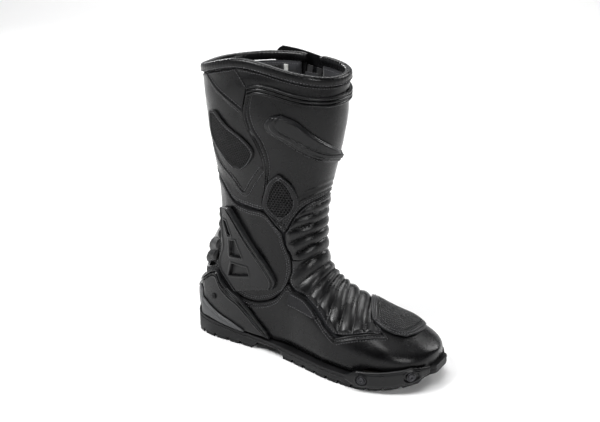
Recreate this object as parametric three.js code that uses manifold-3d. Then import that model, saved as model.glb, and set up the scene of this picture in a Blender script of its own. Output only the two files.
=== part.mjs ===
// Right riding boot: stitched upper on a lugged sole, with an ankle hinge, side zip and closure tab.
// Millimetres, +Z up, toe towards +X, outer (lateral) side towards -Y, inner (medial) side towards +Y.
import * as THREE from 'three';
import Module from 'manifold-3d';

const wasm = await Module();
wasm.setup();

// ---- Driving dimensions -------------------------------------------------------------------------
const BOOT_LENGTH = 296;
const BALL_WIDTH = 102;
const BOOT_HEIGHT = 320;
const SOLE_MARGIN = 2.2;
const LEATHER = 2.0;
const OVERLAY = 1.8;
const ARMOUR = 1.8;
const LINING = 1.4;
const LAYER_GAP = 0.7;
const SEAM = 0.35;
const ANKLE_RADIUS = 48;
const ANKLE_CLEARANCE = 1.5;
const ZIP_SLOT = 22;
const BINDING_HEIGHT = 10;
const COLLAR_DEPTH = 40;
const BELLOWS_RIBS = 7;
const BELLOWS_RELIEF = 1.8;

const LATERAL = 1;
const MEDIAL = -1;
const DEG = Math.PI / 180;

// The section tables below describe the nominal last; the driving sizes stretch it.
const NOMINAL = { length: 296, width: 102, height: 320 };
const SX = BOOT_LENGTH / NOMINAL.length;
const SY = BALL_WIDTH / NOMINAL.width;
const SZ = BOOT_HEIGHT / NOMINAL.height;

// Layer offsets from the outer surface of the last, each [inner, outer], stacked outwards.
const BASE = [-1.6 - LEATHER, -1.6];
const OVER = [BASE[1] + LAYER_GAP, BASE[1] + LAYER_GAP + OVERLAY];
const HARD = [OVER[1] + LAYER_GAP, OVER[1] + LAYER_GAP + ARMOUR];
const INSIDE = [BASE[0] - 1.0 - LINING, BASE[0] - 1.0];
const DEEP = INSIDE.map((d) => d - 1.3);

// ---- Last: shaft column blended into a foot ------------------------------------------------------
// Shaft: [height, rear x, front x, half width]. Foot: [x, top height, half width, centre y].
const SHAFT_SECTIONS = [
  [12, 3, 136, 33], [40, 1, 145, 36], [70, 6, 154, 37], [100, 19, 161, 40], [130, 29, 158, 42],
  [160, 32, 157.5, 43.5], [190, 30, 163, 46], [220, 25, 170, 50], [250, 20.5, 176.5, 54],
  [280, 17.5, 180, 57], [315, 15, 181, 58],
];
const FOOT_SECTIONS = [
  [60, 103, 35, 0], [100, 103, 36, 0], [130, 102, 38, -1], [160, 95, 43.5, -2.5],
  [190, 79, 49, -3.5], [220, 67, 51, -3], [250, 57.5, 49, 0], [275, 48, 45, 3],
];
// Feather line, where the upper meets the sole: [x, height].
const FEATHER = [[0, 24], [60, 17.5], [100, 14.5], [150, 13], [220, 13], [260, 17], [300, 23.5]];
const RIM = { front: 319, rear: 314, lateral: 336, medial: 320 };
const TOE_START = 238;
const HEEL_ROUND = 75;

// Monotone cubic through table rows, held flat beyond both ends.
function profile(rows, column, scaleIn, scaleOut) {
  const xs = rows.map((r) => r[0] * scaleIn);
  const ys = rows.map((r) => r[column] * scaleOut);
  const last = xs.length - 1;
  const slope = xs.slice(1).map((x, i) => (ys[i + 1] - ys[i]) / (x - xs[i]));
  const tangent = ys.map((_, i) => {
    if (i === 0) return slope[0];
    if (i === last) return slope[last - 1];
    const [a, b] = [slope[i - 1], slope[i]];
    return a * b <= 0 ? 0 : (2 * a * b) / (a + b);
  });
  return (x) => {
    if (x <= xs[0]) return ys[0];
    if (x >= xs[last]) return ys[last];
    let i = 0;
    while (x > xs[i + 1]) i += 1;
    const h = xs[i + 1] - xs[i];
    const t = (x - xs[i]) / h;
    const t2 = t * t;
    const t3 = t2 * t;
    return ys[i] * (2 * t3 - 3 * t2 + 1) + tangent[i] * h * (t3 - 2 * t2 + t)
      + ys[i + 1] * (3 * t2 - 2 * t3) + tangent[i + 1] * h * (t3 - t2);
  };
}

const shaftRear = profile(SHAFT_SECTIONS, 1, SZ, SX);
const shaftFront = profile(SHAFT_SECTIONS, 2, SZ, SX);
const shaftHalf = profile(SHAFT_SECTIONS, 3, SZ, SY);
const footTop = profile(FOOT_SECTIONS, 1, SX, SZ);
const footHalf = profile(FOOT_SECTIONS, 2, SX, SY);
const footCentre = profile(FOOT_SECTIONS, 3, SX, SY);
const feather = profile(FEATHER, 1, SX, SZ);

const clamp = THREE.MathUtils.clamp;

function superRadius(a, b, power) {
  return (Math.abs(a) ** power + Math.abs(b) ** power) ** (1 / power);
}

function shaftField(x, y, z) {
  const rear = shaftRear(z);
  const front = shaftFront(z);
  const half = shaftHalf(z);
  const depth = (front - rear) / 2;
  const r = superRadius((x - (front + rear) / 2) / depth, y / half, 2.2);
  return (r - 1) * Math.min(depth, half);
}

function toeRound(x) {
  const t = clamp((x / SX - TOE_START) / (NOMINAL.length - TOE_START), 0, 0.99995);
  return (1 - t ** 2.4) ** (1 / 2.1);
}

function heelRound(x) {
  const t = clamp((HEEL_ROUND - x / SX) / HEEL_ROUND, 0, 0.99995);
  return (1 - t ** 2.5) ** (1 / 2.2);
}

function footField(x, y, z) {
  const start = TOE_START * SX;
  const xk = clamp(x, 60 * SX, start);
  const toe = toeRound(x);
  const base = feather(x);
  const half = Math.max(footHalf(xk) * toe * heelRound(x), 1);
  const past = Math.max(x - start, 0);
  const slope = (footTop(start) - footTop(start - 4)) / 4;
  const tip = base + 12 * SZ;
  const top = past > 0 ? tip + (footTop(start) + slope * past - tip) * toe ** 0.8 : footTop(xk);
  const middle = base + 0.32 * (top - base);
  const above = z > middle;
  const reach = Math.max(above ? top - middle : middle - base + 6, 1);
  const centre = footCentre(xk) + past * 0.13;
  const r = superRadius((y - centre) / half, (z - middle) / reach, above ? 2.3 : 4);
  return Math.max((r - 1) * Math.min(half, reach), 25 * SX - x);
}

function lastField(p) {
  const blend = 16;
  const a = shaftField(p.x, p.y, p.z);
  const b = footField(p.x, p.y, p.z);
  const h = clamp(0.5 + (0.5 * (b - a)) / blend, 0, 1);
  return b * (1 - h) + a * h - blend * h * (1 - h);
}

// Spine the surface is read from. v 0-1 runs down the shaft, 1-2 round the ankle, 2-3 to the toe.
const SPINE = { x: 96, top: 332, bend: [188, 152], low: 46, toe: [274, 3, 20.5], toeTilt: 95 };

function spine(v) {
  const [bx, bz] = SPINE.bend;
  if (v <= 1) {
    const z = SPINE.top + (bz - SPINE.top) * v;
    return { c: new THREE.Vector3(SPINE.x * SX, 0, z * SZ), n: new THREE.Vector3(1, 0, 0) };
  }
  if (v <= 2) {
    const a = (v - 1) * 90 * DEG;
    const x = bx - (bx - SPINE.x) * Math.cos(a);
    const z = bz - (bz - SPINE.low) * Math.sin(a);
    return {
      c: new THREE.Vector3(x * SX, 0, z * SZ),
      n: new THREE.Vector3(Math.cos(a), 0, Math.sin(a)),
    };
  }
  const t = v - 2;
  const [tx, ty, tz] = SPINE.toe;
  const tilt = THREE.MathUtils.smoothstep(t, 0.5, 1) * SPINE.toeTilt * DEG;
  return {
    c: new THREE.Vector3((bx + (tx - bx) * t) * SX, ty * t * SY, (SPINE.low + (tz - SPINE.low) * t) * SZ),
    n: new THREE.Vector3(Math.sin(tilt), 0, Math.cos(tilt)),
  };
}

// Point on the last at [v, angle]. Angle 0 is front or top, 90 lateral, 180 rear, 270 (-90) medial.
function onLast([v, degrees]) {
  const { c, n } = spine(v);
  const a = degrees * DEG;
  const ray = n.clone().multiplyScalar(Math.cos(a)).addScaledVector(new THREE.Vector3(0, -1, 0), Math.sin(a));
  let near = 0;
  let far = 200 * Math.max(SX, SY, SZ);
  for (let i = 0; i < 30; i += 1) {
    const mid = (near + far) / 2;
    if (lastField(c.clone().addScaledVector(ray, mid)) < 0) near = mid;
    else far = mid;
  }
  return c.addScaledVector(ray, near);
}

function normalAt(p) {
  const step = 0.6;
  const slope = (axis) => {
    const ahead = p.clone();
    const behind = p.clone();
    ahead[axis] += step;
    behind[axis] -= step;
    return lastField(ahead) - lastField(behind);
  };
  return new THREE.Vector3(slope('x'), slope('y'), slope('z')).normalize();
}

function lifted(uv, offset) {
  const p = onLast(uv);
  return p.addScaledVector(normalAt(p), offset);
}

// Surface coordinates of a place named by two of its nominal coordinates, by Newton steps.
function locate(axes, target, seed) {
  const scale = { x: SX, y: SY, z: SZ };
  const goal = axes.map((axis, i) => target[i] * scale[axis]);
  const miss = (uv) => {
    const p = onLast(uv);
    return [p[axes[0]] - goal[0], p[axes[1]] - goal[1]];
  };
  let [v, a] = seed;
  for (let i = 0; i < 12; i += 1) {
    const e = miss([v, a]);
    const ev = miss([v + 0.002, a]).map((q, k) => (q - e[k]) / 0.002);
    const ea = miss([v, a + 0.5]).map((q, k) => (q - e[k]) / 0.5);
    const det = ev[0] * ea[1] - ev[1] * ea[0];
    const dv = (e[0] * ea[1] - e[1] * ea[0]) / det;
    const da = (ev[0] * e[1] - ev[1] * e[0]) / det;
    v -= clamp(dv, -0.15, 0.15);
    a -= clamp(da, -12, 12);
  }
  return [v, a];
}

function nearestSeed(axes, target, seeds) {
  const scale = { x: SX, y: SY, z: SZ };
  let best = null;
  let least = Infinity;
  for (const seed of seeds) {
    const d = Math.hypot(...axes.map((axis, i) => seed.p[axis] - target[i] * scale[axis]));
    if (d < least) [best, least] = [seed.uv, d];
  }
  return best;
}

// Widest angle that still lies on the upper, above the sole.
function widest(v) {
  return 165 - 50 * clamp(v - 1.5, 0, 1);
}

function seedGrid(angles) {
  const seeds = [];
  for (let v = -0.05; v < 3; v += 0.06) {
    for (const a of angles) {
      if (Math.abs(a) <= widest(v)) seeds.push({ uv: [v, a], p: onLast([v, a]) });
    }
  }
  return seeds;
}

const LATERAL_SEEDS = seedGrid([30, 50, 70, 90, 110, 130, 150, 165]);
const MEDIAL_SEEDS = seedGrid([-30, -50, -70, -90, -110, -130, -150, -165]);
const TOP_SEEDS = seedGrid([-80, -60, -40, -20, 0, 20, 40, 60, 80]).filter((s) => s.uv[0] > 1.9);

// Places given as seen from the side (x, z) or from above (x, y), in nominal millimetres.
function side(x, z, which = LATERAL) {
  const seeds = which === LATERAL ? LATERAL_SEEDS : MEDIAL_SEEDS;
  return locate(['x', 'z'], [x, z], nearestSeed(['x', 'z'], [x, z], seeds));
}

function above(x, y) {
  return locate(['x', 'y'], [x, y], nearestSeed(['x', 'y'], [x, y], TOP_SEEDS));
}

// Surface coordinates at one angle and one height.
function level(z, angle, low = -0.1, high = 1.75) {
  let [a, b] = [low, high];
  for (let i = 0; i < 30; i += 1) {
    const mid = (a + b) / 2;
    if (onLast([mid, angle]).z > z * SZ) a = mid;
    else b = mid;
  }
  return [a, angle];
}

function rimHeight(angle) {
  const c = Math.cos(angle * DEG);
  const s = Math.sin(angle * DEG);
  return RIM.front * Math.max(c, 0) ** 2 + RIM.rear * Math.max(-c, 0) ** 2
    + RIM.lateral * Math.max(s, 0) ** 2 + RIM.medial * Math.max(-s, 0) ** 2;
}

function belowRim(angle, drop) {
  return [(SPINE.top - rimHeight(angle) + drop / SZ) / (SPINE.top - SPINE.bend[1]), angle];
}

// ---- Ankle hinge: the leg parts end inside one circle, the foot parts start outside another -----
const PIVOT = [88, 108];

function onArc(radius, elevation, which) {
  const x = PIVOT[0] + (radius * Math.cos(elevation * DEG)) / SX;
  const z = PIVOT[1] + (radius * Math.sin(elevation * DEG)) / SZ;
  return side(x, z, which);
}

function arc(radius, from, to, count, which) {
  return Array.from({ length: count }, (_, i) => onArc(radius, from + ((to - from) * i) / (count - 1), which));
}

const LEG_ARC = ANKLE_RADIUS;
const FOOT_ARC = ANKLE_RADIUS + ANKLE_CLEARANCE;

// ---- Solid builders -----------------------------------------------------------------------------
function solid(points, faces) {
  const geometry = new THREE.BufferGeometry();
  geometry.setAttribute('position', new THREE.Float32BufferAttribute(points.flatMap((p) => [p.x, p.y, p.z]), 3));
  let volume = 0;
  for (const [a, b, c] of faces) {
    volume += points[a].dot(points[b].clone().cross(points[c]));
  }
  const outward = volume > 0 ? faces : faces.map(([a, b, c]) => [a, c, b]);
  geometry.setIndex(outward.flat());
  return geometry;
}

// Closed skin between two point grids of the same size; wrap joins the last column to the first.
function between(inner, outer, wrap = false) {
  const rows = outer.length;
  const columns = outer[0].length;
  const points = [...outer.flat(), ...inner.flat()];
  const index = (layer, i, j) => layer * rows * columns + i * columns + (j % columns);
  const faces = [];
  const quad = (a, b, c, d) => faces.push([a, b, c], [a, c, d]);
  const spans = wrap ? columns : columns - 1;
  for (let i = 0; i < rows - 1; i += 1) {
    for (let j = 0; j < spans; j += 1) {
      quad(index(0, i, j), index(0, i + 1, j), index(0, i + 1, j + 1), index(0, i, j + 1));
      quad(index(1, i, j), index(1, i, j + 1), index(1, i + 1, j + 1), index(1, i + 1, j));
    }
  }
  for (let j = 0; j < spans; j += 1) {
    quad(index(0, 0, j), index(0, 0, j + 1), index(1, 0, j + 1), index(1, 0, j));
    quad(index(0, rows - 1, j + 1), index(0, rows - 1, j), index(1, rows - 1, j), index(1, rows - 1, j + 1));
  }
  for (let i = 0; !wrap && i < rows - 1; i += 1) {
    quad(index(0, i + 1, 0), index(0, i, 0), index(1, i, 0), index(1, i + 1, 0));
    quad(index(0, i, columns - 1), index(0, i + 1, columns - 1), index(1, i + 1, columns - 1), index(1, i, columns - 1));
  }
  return solid(points, faces);
}

// Loft through equal rings of points, closed at both ends by fans round the ring centres.
function loft(rings) {
  const count = rings[0].length;
  const points = rings.flat();
  const faces = [];
  for (let i = 0; i < rings.length - 1; i += 1) {
    for (let j = 0; j < count; j += 1) {
      const k = (j + 1) % count;
      faces.push([i * count + j, (i + 1) * count + j, (i + 1) * count + k]);
      faces.push([i * count + j, (i + 1) * count + k, i * count + k]);
    }
  }
  for (const [ring, flip] of [[0, false], [rings.length - 1, true]]) {
    const centre = new THREE.Vector3();
    rings[ring].forEach((p) => centre.addScaledVector(p, 1 / count));
    const hub = points.push(centre) - 1;
    for (let j = 0; j < count; j += 1) {
      const [a, b] = [ring * count + j, ring * count + ((j + 1) % count)];
      faces.push(flip ? [a, hub, b] : [b, hub, a]);
    }
  }
  return solid(points, faces);
}

const STRETCH_V = 180;

function path(points) {
  const curve = new THREE.SplineCurve(points.map(([v, a]) => new THREE.Vector2(v * STRETCH_V, a)));
  curve.arcLengthDivisions = 400;
  return (t) => {
    const p = points.length === 2 ? curve.getPoint(t) : curve.getPointAt(t);
    return [p.x / STRETCH_V, p.y];
  };
}

// Surface patch bounded by four curves: left and right run top to bottom, top and bottom left to right.
function patch({ left, right, top, bottom, rows, columns, layer, relief = () => 0 }) {
  const lc = path(left);
  const rc = path(right);
  const tc = path(top ?? [left[0], right[0]]);
  const bc = path(bottom ?? [left.at(-1), right.at(-1)]);
  const corners = [lc(0), rc(0), lc(1), rc(1)];
  const grids = [[], []];
  for (let i = 0; i <= rows; i += 1) {
    const s = i / rows;
    const line = [[], []];
    for (let j = 0; j <= columns; j += 1) {
      const t = j / columns;
      const uv = [0, 1].map((k) => (1 - t) * lc(s)[k] + t * rc(s)[k] + (1 - s) * tc(t)[k] + s * bc(t)[k]
        - (1 - s) * ((1 - t) * corners[0][k] + t * corners[1][k])
        - s * ((1 - t) * corners[2][k] + t * corners[3][k]));
      line[0].push(lifted(uv, layer[0]));
      line[1].push(lifted(uv, layer[1] + relief(s, t)));
    }
    grids[0].push(line[0]);
    grids[1].push(line[1]);
  }
  return between(grids[0], grids[1]);
}

const mirrored = (points) => points.map(([v, a]) => [v, -a]);
const mirrorTo = (points, which) => (which === LATERAL ? points : mirrored(points));
const around = (points) => points.map(([v, a]) => [v, a < 0 ? a + 360 : a]);

function toManifold(geometry) {
  const mesh = new wasm.Mesh({
    numProp: 3,
    vertProperties: new Float32Array(geometry.getAttribute('position').array),
    triVerts: new Uint32Array(geometry.getIndex().array),
  });
  return new wasm.Manifold(mesh);
}

function fromManifold(manifold) {
  const mesh = manifold.getMesh();
  const geometry = new THREE.BufferGeometry();
  geometry.setAttribute('position', new THREE.Float32BufferAttribute(mesh.vertProperties, 3));
  geometry.setIndex(new THREE.Uint32BufferAttribute(mesh.triVerts, 1));
  return geometry;
}

function box(min, max) {
  const size = max.map((m, i) => m - min[i]);
  return wasm.Manifold.cube(size, false).translate(min);
}

// ---- Materials ----------------------------------------------------------------------------------
function finish(colour, roughness, metalness = 0) {
  return () => new THREE.MeshStandardMaterial({ color: colour, roughness, metalness });
}

const MATERIALS = {
  leather: finish(0x1c1c1e, 0.55),
  microfibre: finish(0x232326, 0.7),
  bellows: finish(0x1a1a1c, 0.6),
  armour: finish(0x17181a, 0.38),
  greyArmour: finish(0x3c3d40, 0.45),
  rubber: finish(0x141415, 0.8),
  mesh: finish(0x202022, 0.9),
  lining: finish(0x2b2c30, 0.95),
  board: finish(0x6b5f50, 0.9),
  foam: finish(0x34363b, 0.95),
  steel: finish(0x9a9ca0, 0.35, 1),
  zip: finish(0x101012, 0.5),
  slider: finish(0x35363a, 0.35, 1),
  hook: finish(0x0e0e10, 1),
  label: finish(0xd8d8d4, 0.9),
  darkLabel: finish(0x0c0c0d, 0.6),
};

const group = new THREE.Group();
group.name = 'riding_boot';

function add(name, geometry, material) {
  const mesh = new THREE.Mesh(geometry, MATERIALS[material]());
  mesh.name = name;
  group.add(mesh);
}

// ---- Sole: lugged outsole, board, shank and footbed ----------------------------------------------
// Plan outline: [x, lateral y, medial y].
const SOLE_PLAN = [
  [3, -17, 17], [15, -31, 30], [40, -37, 36], [80, -37, 35], [120, -39, 36], [160, -47, 40],
  [200, -55, 47], [225, -56, 50], [250, -51, 49], [270, -41, 45], [285, -27, 37], [293, -12, 25],
];
const SOLE_ENDS = [0.5, 298.5];
const SOLE_DROP = 0.8;
const LIP = { rise: 1.8, width: 1.2 };
const TOE_SPRING = { start: 225, length: 75, rise: 12 };
const TREAD = { depth: 4, groove: 4, heelBreast: 92, archEnd: 128, archRise: 6 };
const FOREFOOT_GROOVES = [146, 164, 182, 200, 218, 236, 254, 272];
const HEEL_GROOVES = [18, 38, 58, 78];
const SHANK = { from: 60, to: 150, half: 7, thickness: 1.2 };

const solePlan = [1, 2].map((column) => profile(SOLE_PLAN, column, SX, SY));

function ground(x) {
  const t = Math.max(x / SX - TOE_SPRING.start, 0) / TOE_SPRING.length;
  return TOE_SPRING.rise * t ** 1.8 * SZ;
}

function soleRing(x, narrow) {
  const [lateral, medial] = solePlan.map((f, i) => f(x) * narrow + (i ? SOLE_MARGIN : -SOLE_MARGIN));
  const top = feather(x) - SOLE_DROP;
  const low = ground(x);
  const inset = 3;
  const point = (y, z) => new THREE.Vector3(x, y, z);
  return [
    point(lateral + inset, low), point(lateral, low + 6), point(lateral, top + LIP.rise),
    point(lateral + LIP.width, top + LIP.rise), point(lateral + LIP.width + 0.3, top),
    point(medial - LIP.width - 0.3, top), point(medial - LIP.width, top + LIP.rise),
    point(medial, top + LIP.rise), point(medial, low + 6), point(medial - inset, low),
  ];
}

function soleStations(count) {
  const [first, last] = SOLE_ENDS.map((x) => x * SX);
  return Array.from({ length: count }, (_, i) => first + ((last - first) * (1 - Math.cos((Math.PI * i) / (count - 1)))) / 2);
}

function outsole() {
  const stations = soleStations(25);
  const rings = stations.map((x, i) => soleRing(x, i === 0 || i === stations.length - 1 ? 0.62 : 1));
  let body = toManifold(loft(rings));
  const wide = 80 * SY;
  const cut = (from, to, height) => {
    const floor = ground((from + to) / 2) + height;
    body = body.subtract(box([from, -wide, -1], [to, wide, floor]));
  };
  cut(TREAD.heelBreast * SX, TREAD.archEnd * SX, TREAD.archRise * SZ);
  for (const x of [...HEEL_GROOVES, ...FOREFOOT_GROOVES]) cut(x * SX, x * SX + TREAD.groove, TREAD.depth);
  const floor = shankTop() - SHANK.thickness - SEAM;
  const reach = SHANK.half + SEAM;
  body = body.subtract(box([SHANK.from * SX, -reach, floor], [SHANK.to * SX, reach, floor + 20]));
  add('outsole', fromManifold(body), 'rubber');
}

function shankTop() {
  return feather(SHANK.to * SX) - SOLE_DROP - SEAM;
}

function shank() {
  const top = shankTop();
  const low = [SHANK.from * SX + SEAM, -SHANK.half, top - SHANK.thickness];
  add('shank', fromManifold(box(low, [SHANK.to * SX - SEAM, SHANK.half, top])), 'steel');
}

// Half widths of the last at a height above the feather line.
function lastWidth(x, rise, which) {
  const z = feather(x) + rise;
  let near = 0;
  let far = 80 * SY;
  const middle = footCentre(clamp(x, 60 * SX, TOE_START * SX));
  for (let i = 0; i < 24; i += 1) {
    const mid = (near + far) / 2;
    if (lastField(new THREE.Vector3(x, middle - which * mid, z)) < 0) near = mid;
    else far = mid;
  }
  return middle - which * near;
}

function insoleLayer(name, from, to, bottom, top, inset, material) {
  const count = 16;
  const rings = Array.from({ length: count }, (_, i) => {
    const x = from + ((to - from) * (1 - Math.cos((Math.PI * i) / (count - 1)))) / 2;
    const lateral = lastWidth(x, 4, LATERAL) + inset;
    const medial = lastWidth(x, 4, MEDIAL) - inset;
    const point = (y, z) => new THREE.Vector3(x, y, feather(x) + z);
    return [point(lateral, bottom), point(medial, bottom), point(medial, top), point((lateral + medial) / 2, top), point(lateral, top)];
  });
  add(name, loft(rings), material);
}

// ---- Foot: quarters, toe cap, bellows, overlays and lining --------------------------------------
const SEAM_X = 199;
const REST = 1.4;
const REST_OVER_LIP = 4;

function featherPath(xs, which, rest = REST) {
  return xs.map((x) => side(x, feather(x * SX) / SZ + rest, which));
}

function heelFeather(angle, rest = REST) {
  return level(feather(8 * SX) / SZ + rest, angle, 1.1, 1.75);
}

function toeFeather(angle) {
  let [a, b] = [2.6, 3];
  for (let i = 0; i < 24; i += 1) {
    const mid = (a + b) / 2;
    const p = onLast([mid, angle]);
    if (p.z > feather(p.x) + REST + 1) a = mid;
    else b = mid;
  }
  return [a, angle];
}

// Line the bellows, quarters and toe cap meet along, from the lateral low corner over the top.
function toeSeam(shift) {
  const half = [[SEAM_X, 49], [213, 54.5], [230, 57], [244, 56.5]].map(([x, z]) => side(x, z));
  const crest = above(222, 0);
  const outer = half.map(([v, a]) => [v + shift, a]);
  const middle = [[crest[0] + 0.1 + shift, 34], [crest[0] + shift, 0]];
  return [...outer, ...middle, ...mirrored([middle[0]]), ...mirrored([...outer].reverse())];
}

const QUARTER_FRONT = [[140, 82], [153, 78.5], [166, 72], [178, 64], [187, 56.5]];

// Places given on the lateral side, and taken across to the other side by angle.
function both(list, which) {
  return mirrorTo(list.map(([x, z]) => side(x, z)), which);
}


function quarter(which, name) {
  const rear = which === LATERAL ? 180 - SEAM : 180 + SEAM;
  const upper = [
    level(77, rear), level(80, 180 - 14 * which), level(90, 180 - 26 * which),
    ...around(arc(FOOT_ARC, 192, 336, 7, which)),
    ...around(both([...QUARTER_FRONT, [SEAM_X - 1, 50]], which)),
  ];
  const lower = [
    heelFeather(rear), heelFeather(180 - 12 * which),
    ...around(featherPath([14, 30, 55, 85, 115, 145, 172], which)),
    ...around(mirrorTo(featherPath([SEAM_X - 1], LATERAL, REST + 1), which)),
  ];
  add(name, patch({ left: upper, right: lower, rows: 26, columns: 4, layer: BASE }), 'microfibre');
}

function toeCap() {
  const seam = toeSeam(0.006);
  const low = featherPath([SEAM_X + 1, 215, 230, 243], LATERAL, REST + 1);
  const front = [88, 66, 40, 0].map(toeFeather);
  const lowMedial = mirrored(low).reverse();
  const edge = [...low, ...front, ...mirrored(front.slice(0, 3)).reverse(), ...lowMedial];
  add('toe_cap', patch({ left: seam, right: edge, rows: 16, columns: 6, layer: BASE }), 'microfibre');
}

function instepBellows() {
  const left = (which) => [
    ...arc(FOOT_ARC, 8, -18, 3, which),
    ...both([...QUARTER_FRONT.map(([x, z]) => [x, z + 3.5]), [SEAM_X - 1, 53.4]], which),
  ];
  const lateral = left(LATERAL);
  const medial = left(MEDIAL);
  const crown = [lateral[0], [1.38, 26], [1.385, 0], [1.38, -26], medial[0]];
  const seam = toeSeam(-0.006);
  seam[0] = lateral.at(-1);
  seam[seam.length - 1] = medial.at(-1);
  const rows = BELLOWS_RIBS * 2;
  const relief = (s, t) => {
    const crest = Math.round(s * rows) % 2 === 1 ? 1 : 0;
    const fade = Math.min(1, 6 * t, 6 * (1 - t), 7 * (1 - s));
    return BELLOWS_RELIEF * crest * fade;
  };
  const shape = { left: lateral, right: medial, top: crown, bottom: seam, rows, columns: 16, layer: BASE, relief };
  add('instep_bellows', patch(shape), 'bellows');
}

function gripStrip(which, name) {
  const upper = [[136.5, 80.5], [153, 76.5], [166, 70], [174, 64]];
  const lower = [[134, 66], [147, 64.5], [160, 63], [171, 61.5]];
  const place = (list) => list.map(([x, z]) => side(x, z, which));
  add(name, patch({ left: place(upper), right: place(lower), rows: 5, columns: 2, layer: OVER }), 'mesh');
}

function toePad() {
  const lateral = [above(216, 2), above(228, -15), above(242, -22), above(256, -19), above(266, -8)];
  const medial = [above(216, 2.6), above(224, 24), above(240, 33), above(256, 30), above(266, 14)];
  const top = [lateral[0], medial[0]];
  top[0] = [lateral[0][0], 6];
  top[1] = [lateral[0][0], -8];
  lateral[0] = top[0];
  medial[0] = top[1];
  add('shift_pad', patch({ left: lateral, right: medial, rows: 7, columns: 5, layer: [OVER[0] + LAYER_GAP, OVER[1] + 1.2] }), 'armour');
}

const COUNTER_EDGE = [[108, 25], [97, 37], [86, 49], [74, 59.5], [61, 66], [50, 74], [40, 85]];

function heelWrap(name, edge, rearTop, layer, rows, columns, material) {
  const lateral = edge.map(([x, z]) => side(x, z));
  const rear = [level(rearTop + 3, 168), level(rearTop, 180)];
  const upper = [...lateral, ...rear];
  const wholeUpper = [...upper, ...around(mirrored(upper.slice(0, -1))).reverse()];
  const xs = [edge[0][0] + 3, edge[0][0] - 18, edge[0][0] - 45, 34, 15].filter((x, i, all) => i === 0 || x < all[i - 1] - 6);
  const low = [...featherPath(xs, LATERAL, REST_OVER_LIP), heelFeather(168, REST_OVER_LIP), heelFeather(180, REST_OVER_LIP)];
  const wholeLow = [...low, ...around(mirrored(low.slice(0, -1))).reverse()];
  add(name, patch({ left: wholeUpper, right: wholeLow, rows, columns, layer }), material);
}

function heelButton() {
  const at = lifted(side(38, 52), OVER[1] + 1.3);
  const out = normalAt(at);
  const turn = new THREE.Quaternion().setFromUnitVectors(new THREE.Vector3(0, 1, 0), out);
  const geometry = new THREE.CylinderGeometry(3, 3.6, 2, 16);
  geometry.applyQuaternion(turn);
  geometry.translate(at.x + out.x, at.y + out.y, at.z + out.z);
  add('heel_button', merged(geometry), 'armour');
}

// Weld a stock three.js geometry down to bare positions.
function merged(geometry) {
  const position = geometry.getAttribute('position');
  const index = geometry.getIndex() ?? { count: position.count, getX: (i) => i };
  const keys = new Map();
  const points = [];
  const lookup = Array.from({ length: position.count }, (_, i) => {
    const p = new THREE.Vector3().fromBufferAttribute(position, i);
    const key = p.toArray().map((q) => Math.round(q * 1e4)).join();
    if (!keys.has(key)) keys.set(key, points.push(p) - 1);
    return keys.get(key);
  });
  const faces = [];
  for (let i = 0; i < index.count; i += 3) {
    const [a, b, c] = [0, 1, 2].map((k) => lookup[index.getX(i + k)]);
    if (a !== b && b !== c && c !== a) faces.push([a, b, c]);
  }
  return solid(points, faces);
}

function footLining() {
  const left = featherPath([60, 85, 115, 145, 172, 200, 220, 236], LATERAL).map(([v, a]) => [v, a - 1]);
  const right = mirrored(left);
  const top = [left[0], side(62, 70), [1.36, 90], [1.42, 40], [1.42, 0], [1.42, -40], [1.36, -90], side(62, 70, MEDIAL), right[0]];
  const bottom = [left.at(-1), [2.83, 60], [2.84, 0], [2.83, -60], right.at(-1)];
  add('foot_lining', patch({ left, right, top, bottom, rows: 13, columns: 12, layer: DEEP.map((d) => d - 1) }), 'lining');
}

function heelLining() {
  const upper = [side(56, 72), side(45, 78), level(80, 165), level(80, 180)];
  const lower = [side(56, feather(56 * SX) / SZ + 3), ...featherPath([34, 16], LATERAL), heelFeather(180)];
  const whole = (half) => [...half, ...around(mirrored(half.slice(0, -1))).reverse()];
  add('heel_lining', patch({ left: whole(upper), right: whole(lower), rows: 20, columns: 4, layer: DEEP }), 'lining');
}

// Slider on the lateral toe edge of the sole, held by two screws in washers.
const SLIDER = { from: 221, to: 291, thickness: 3.2, low: 5, high: 21, clearance: 0.4 };
const SLIDER_SCREWS = [237, 281];
const SCREW = { washer: 5.2, head: 3.4, recess: 1.2, socket: 1.6 };

function soleSide(x, z, offset) {
  const step = 1;
  const y = (q) => solePlan[0](q) - SOLE_MARGIN;
  const slope = (y(x + step) - y(x - step)) / (2 * step);
  const out = new THREE.Vector3(slope, -1, 0).normalize();
  return { p: new THREE.Vector3(x, y(x), z).addScaledVector(out, offset), out };
}

function toeSlider() {
  const count = 12;
  const rings = Array.from({ length: count + 1 }, (_, i) => {
    const t = i / count;
    const x = (SLIDER.from + (SLIDER.to - SLIDER.from) * t) * SX;
    const taper = Math.min(1, 0.35 + 4 * t, 0.35 + 4 * (1 - t));
    const middle = ((SLIDER.low + SLIDER.high) / 2) * SZ + ground(x) * 0.85;
    const half = ((SLIDER.high - SLIDER.low) / 2) * SZ * taper;
    const at = (z, offset) => soleSide(x, z, offset).p;
    return [
      at(middle - half, SLIDER.clearance), at(middle + half, SLIDER.clearance),
      at(middle + half - 1, SLIDER.clearance + SLIDER.thickness * 0.6), at(middle + half * 0.5, SLIDER.clearance + SLIDER.thickness),
      at(middle - half * 0.5, SLIDER.clearance + SLIDER.thickness), at(middle - half + 1, SLIDER.clearance + SLIDER.thickness * 0.6),
    ];
  });
  let body = toManifold(loft(rings));
  for (const x of SLIDER_SCREWS) body = body.subtract(toManifold(puck(x, SCREW.washer + SEAM, -SCREW.recess, 4)));
  add('toe_slider', fromManifold(body), 'armour');
}

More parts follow.
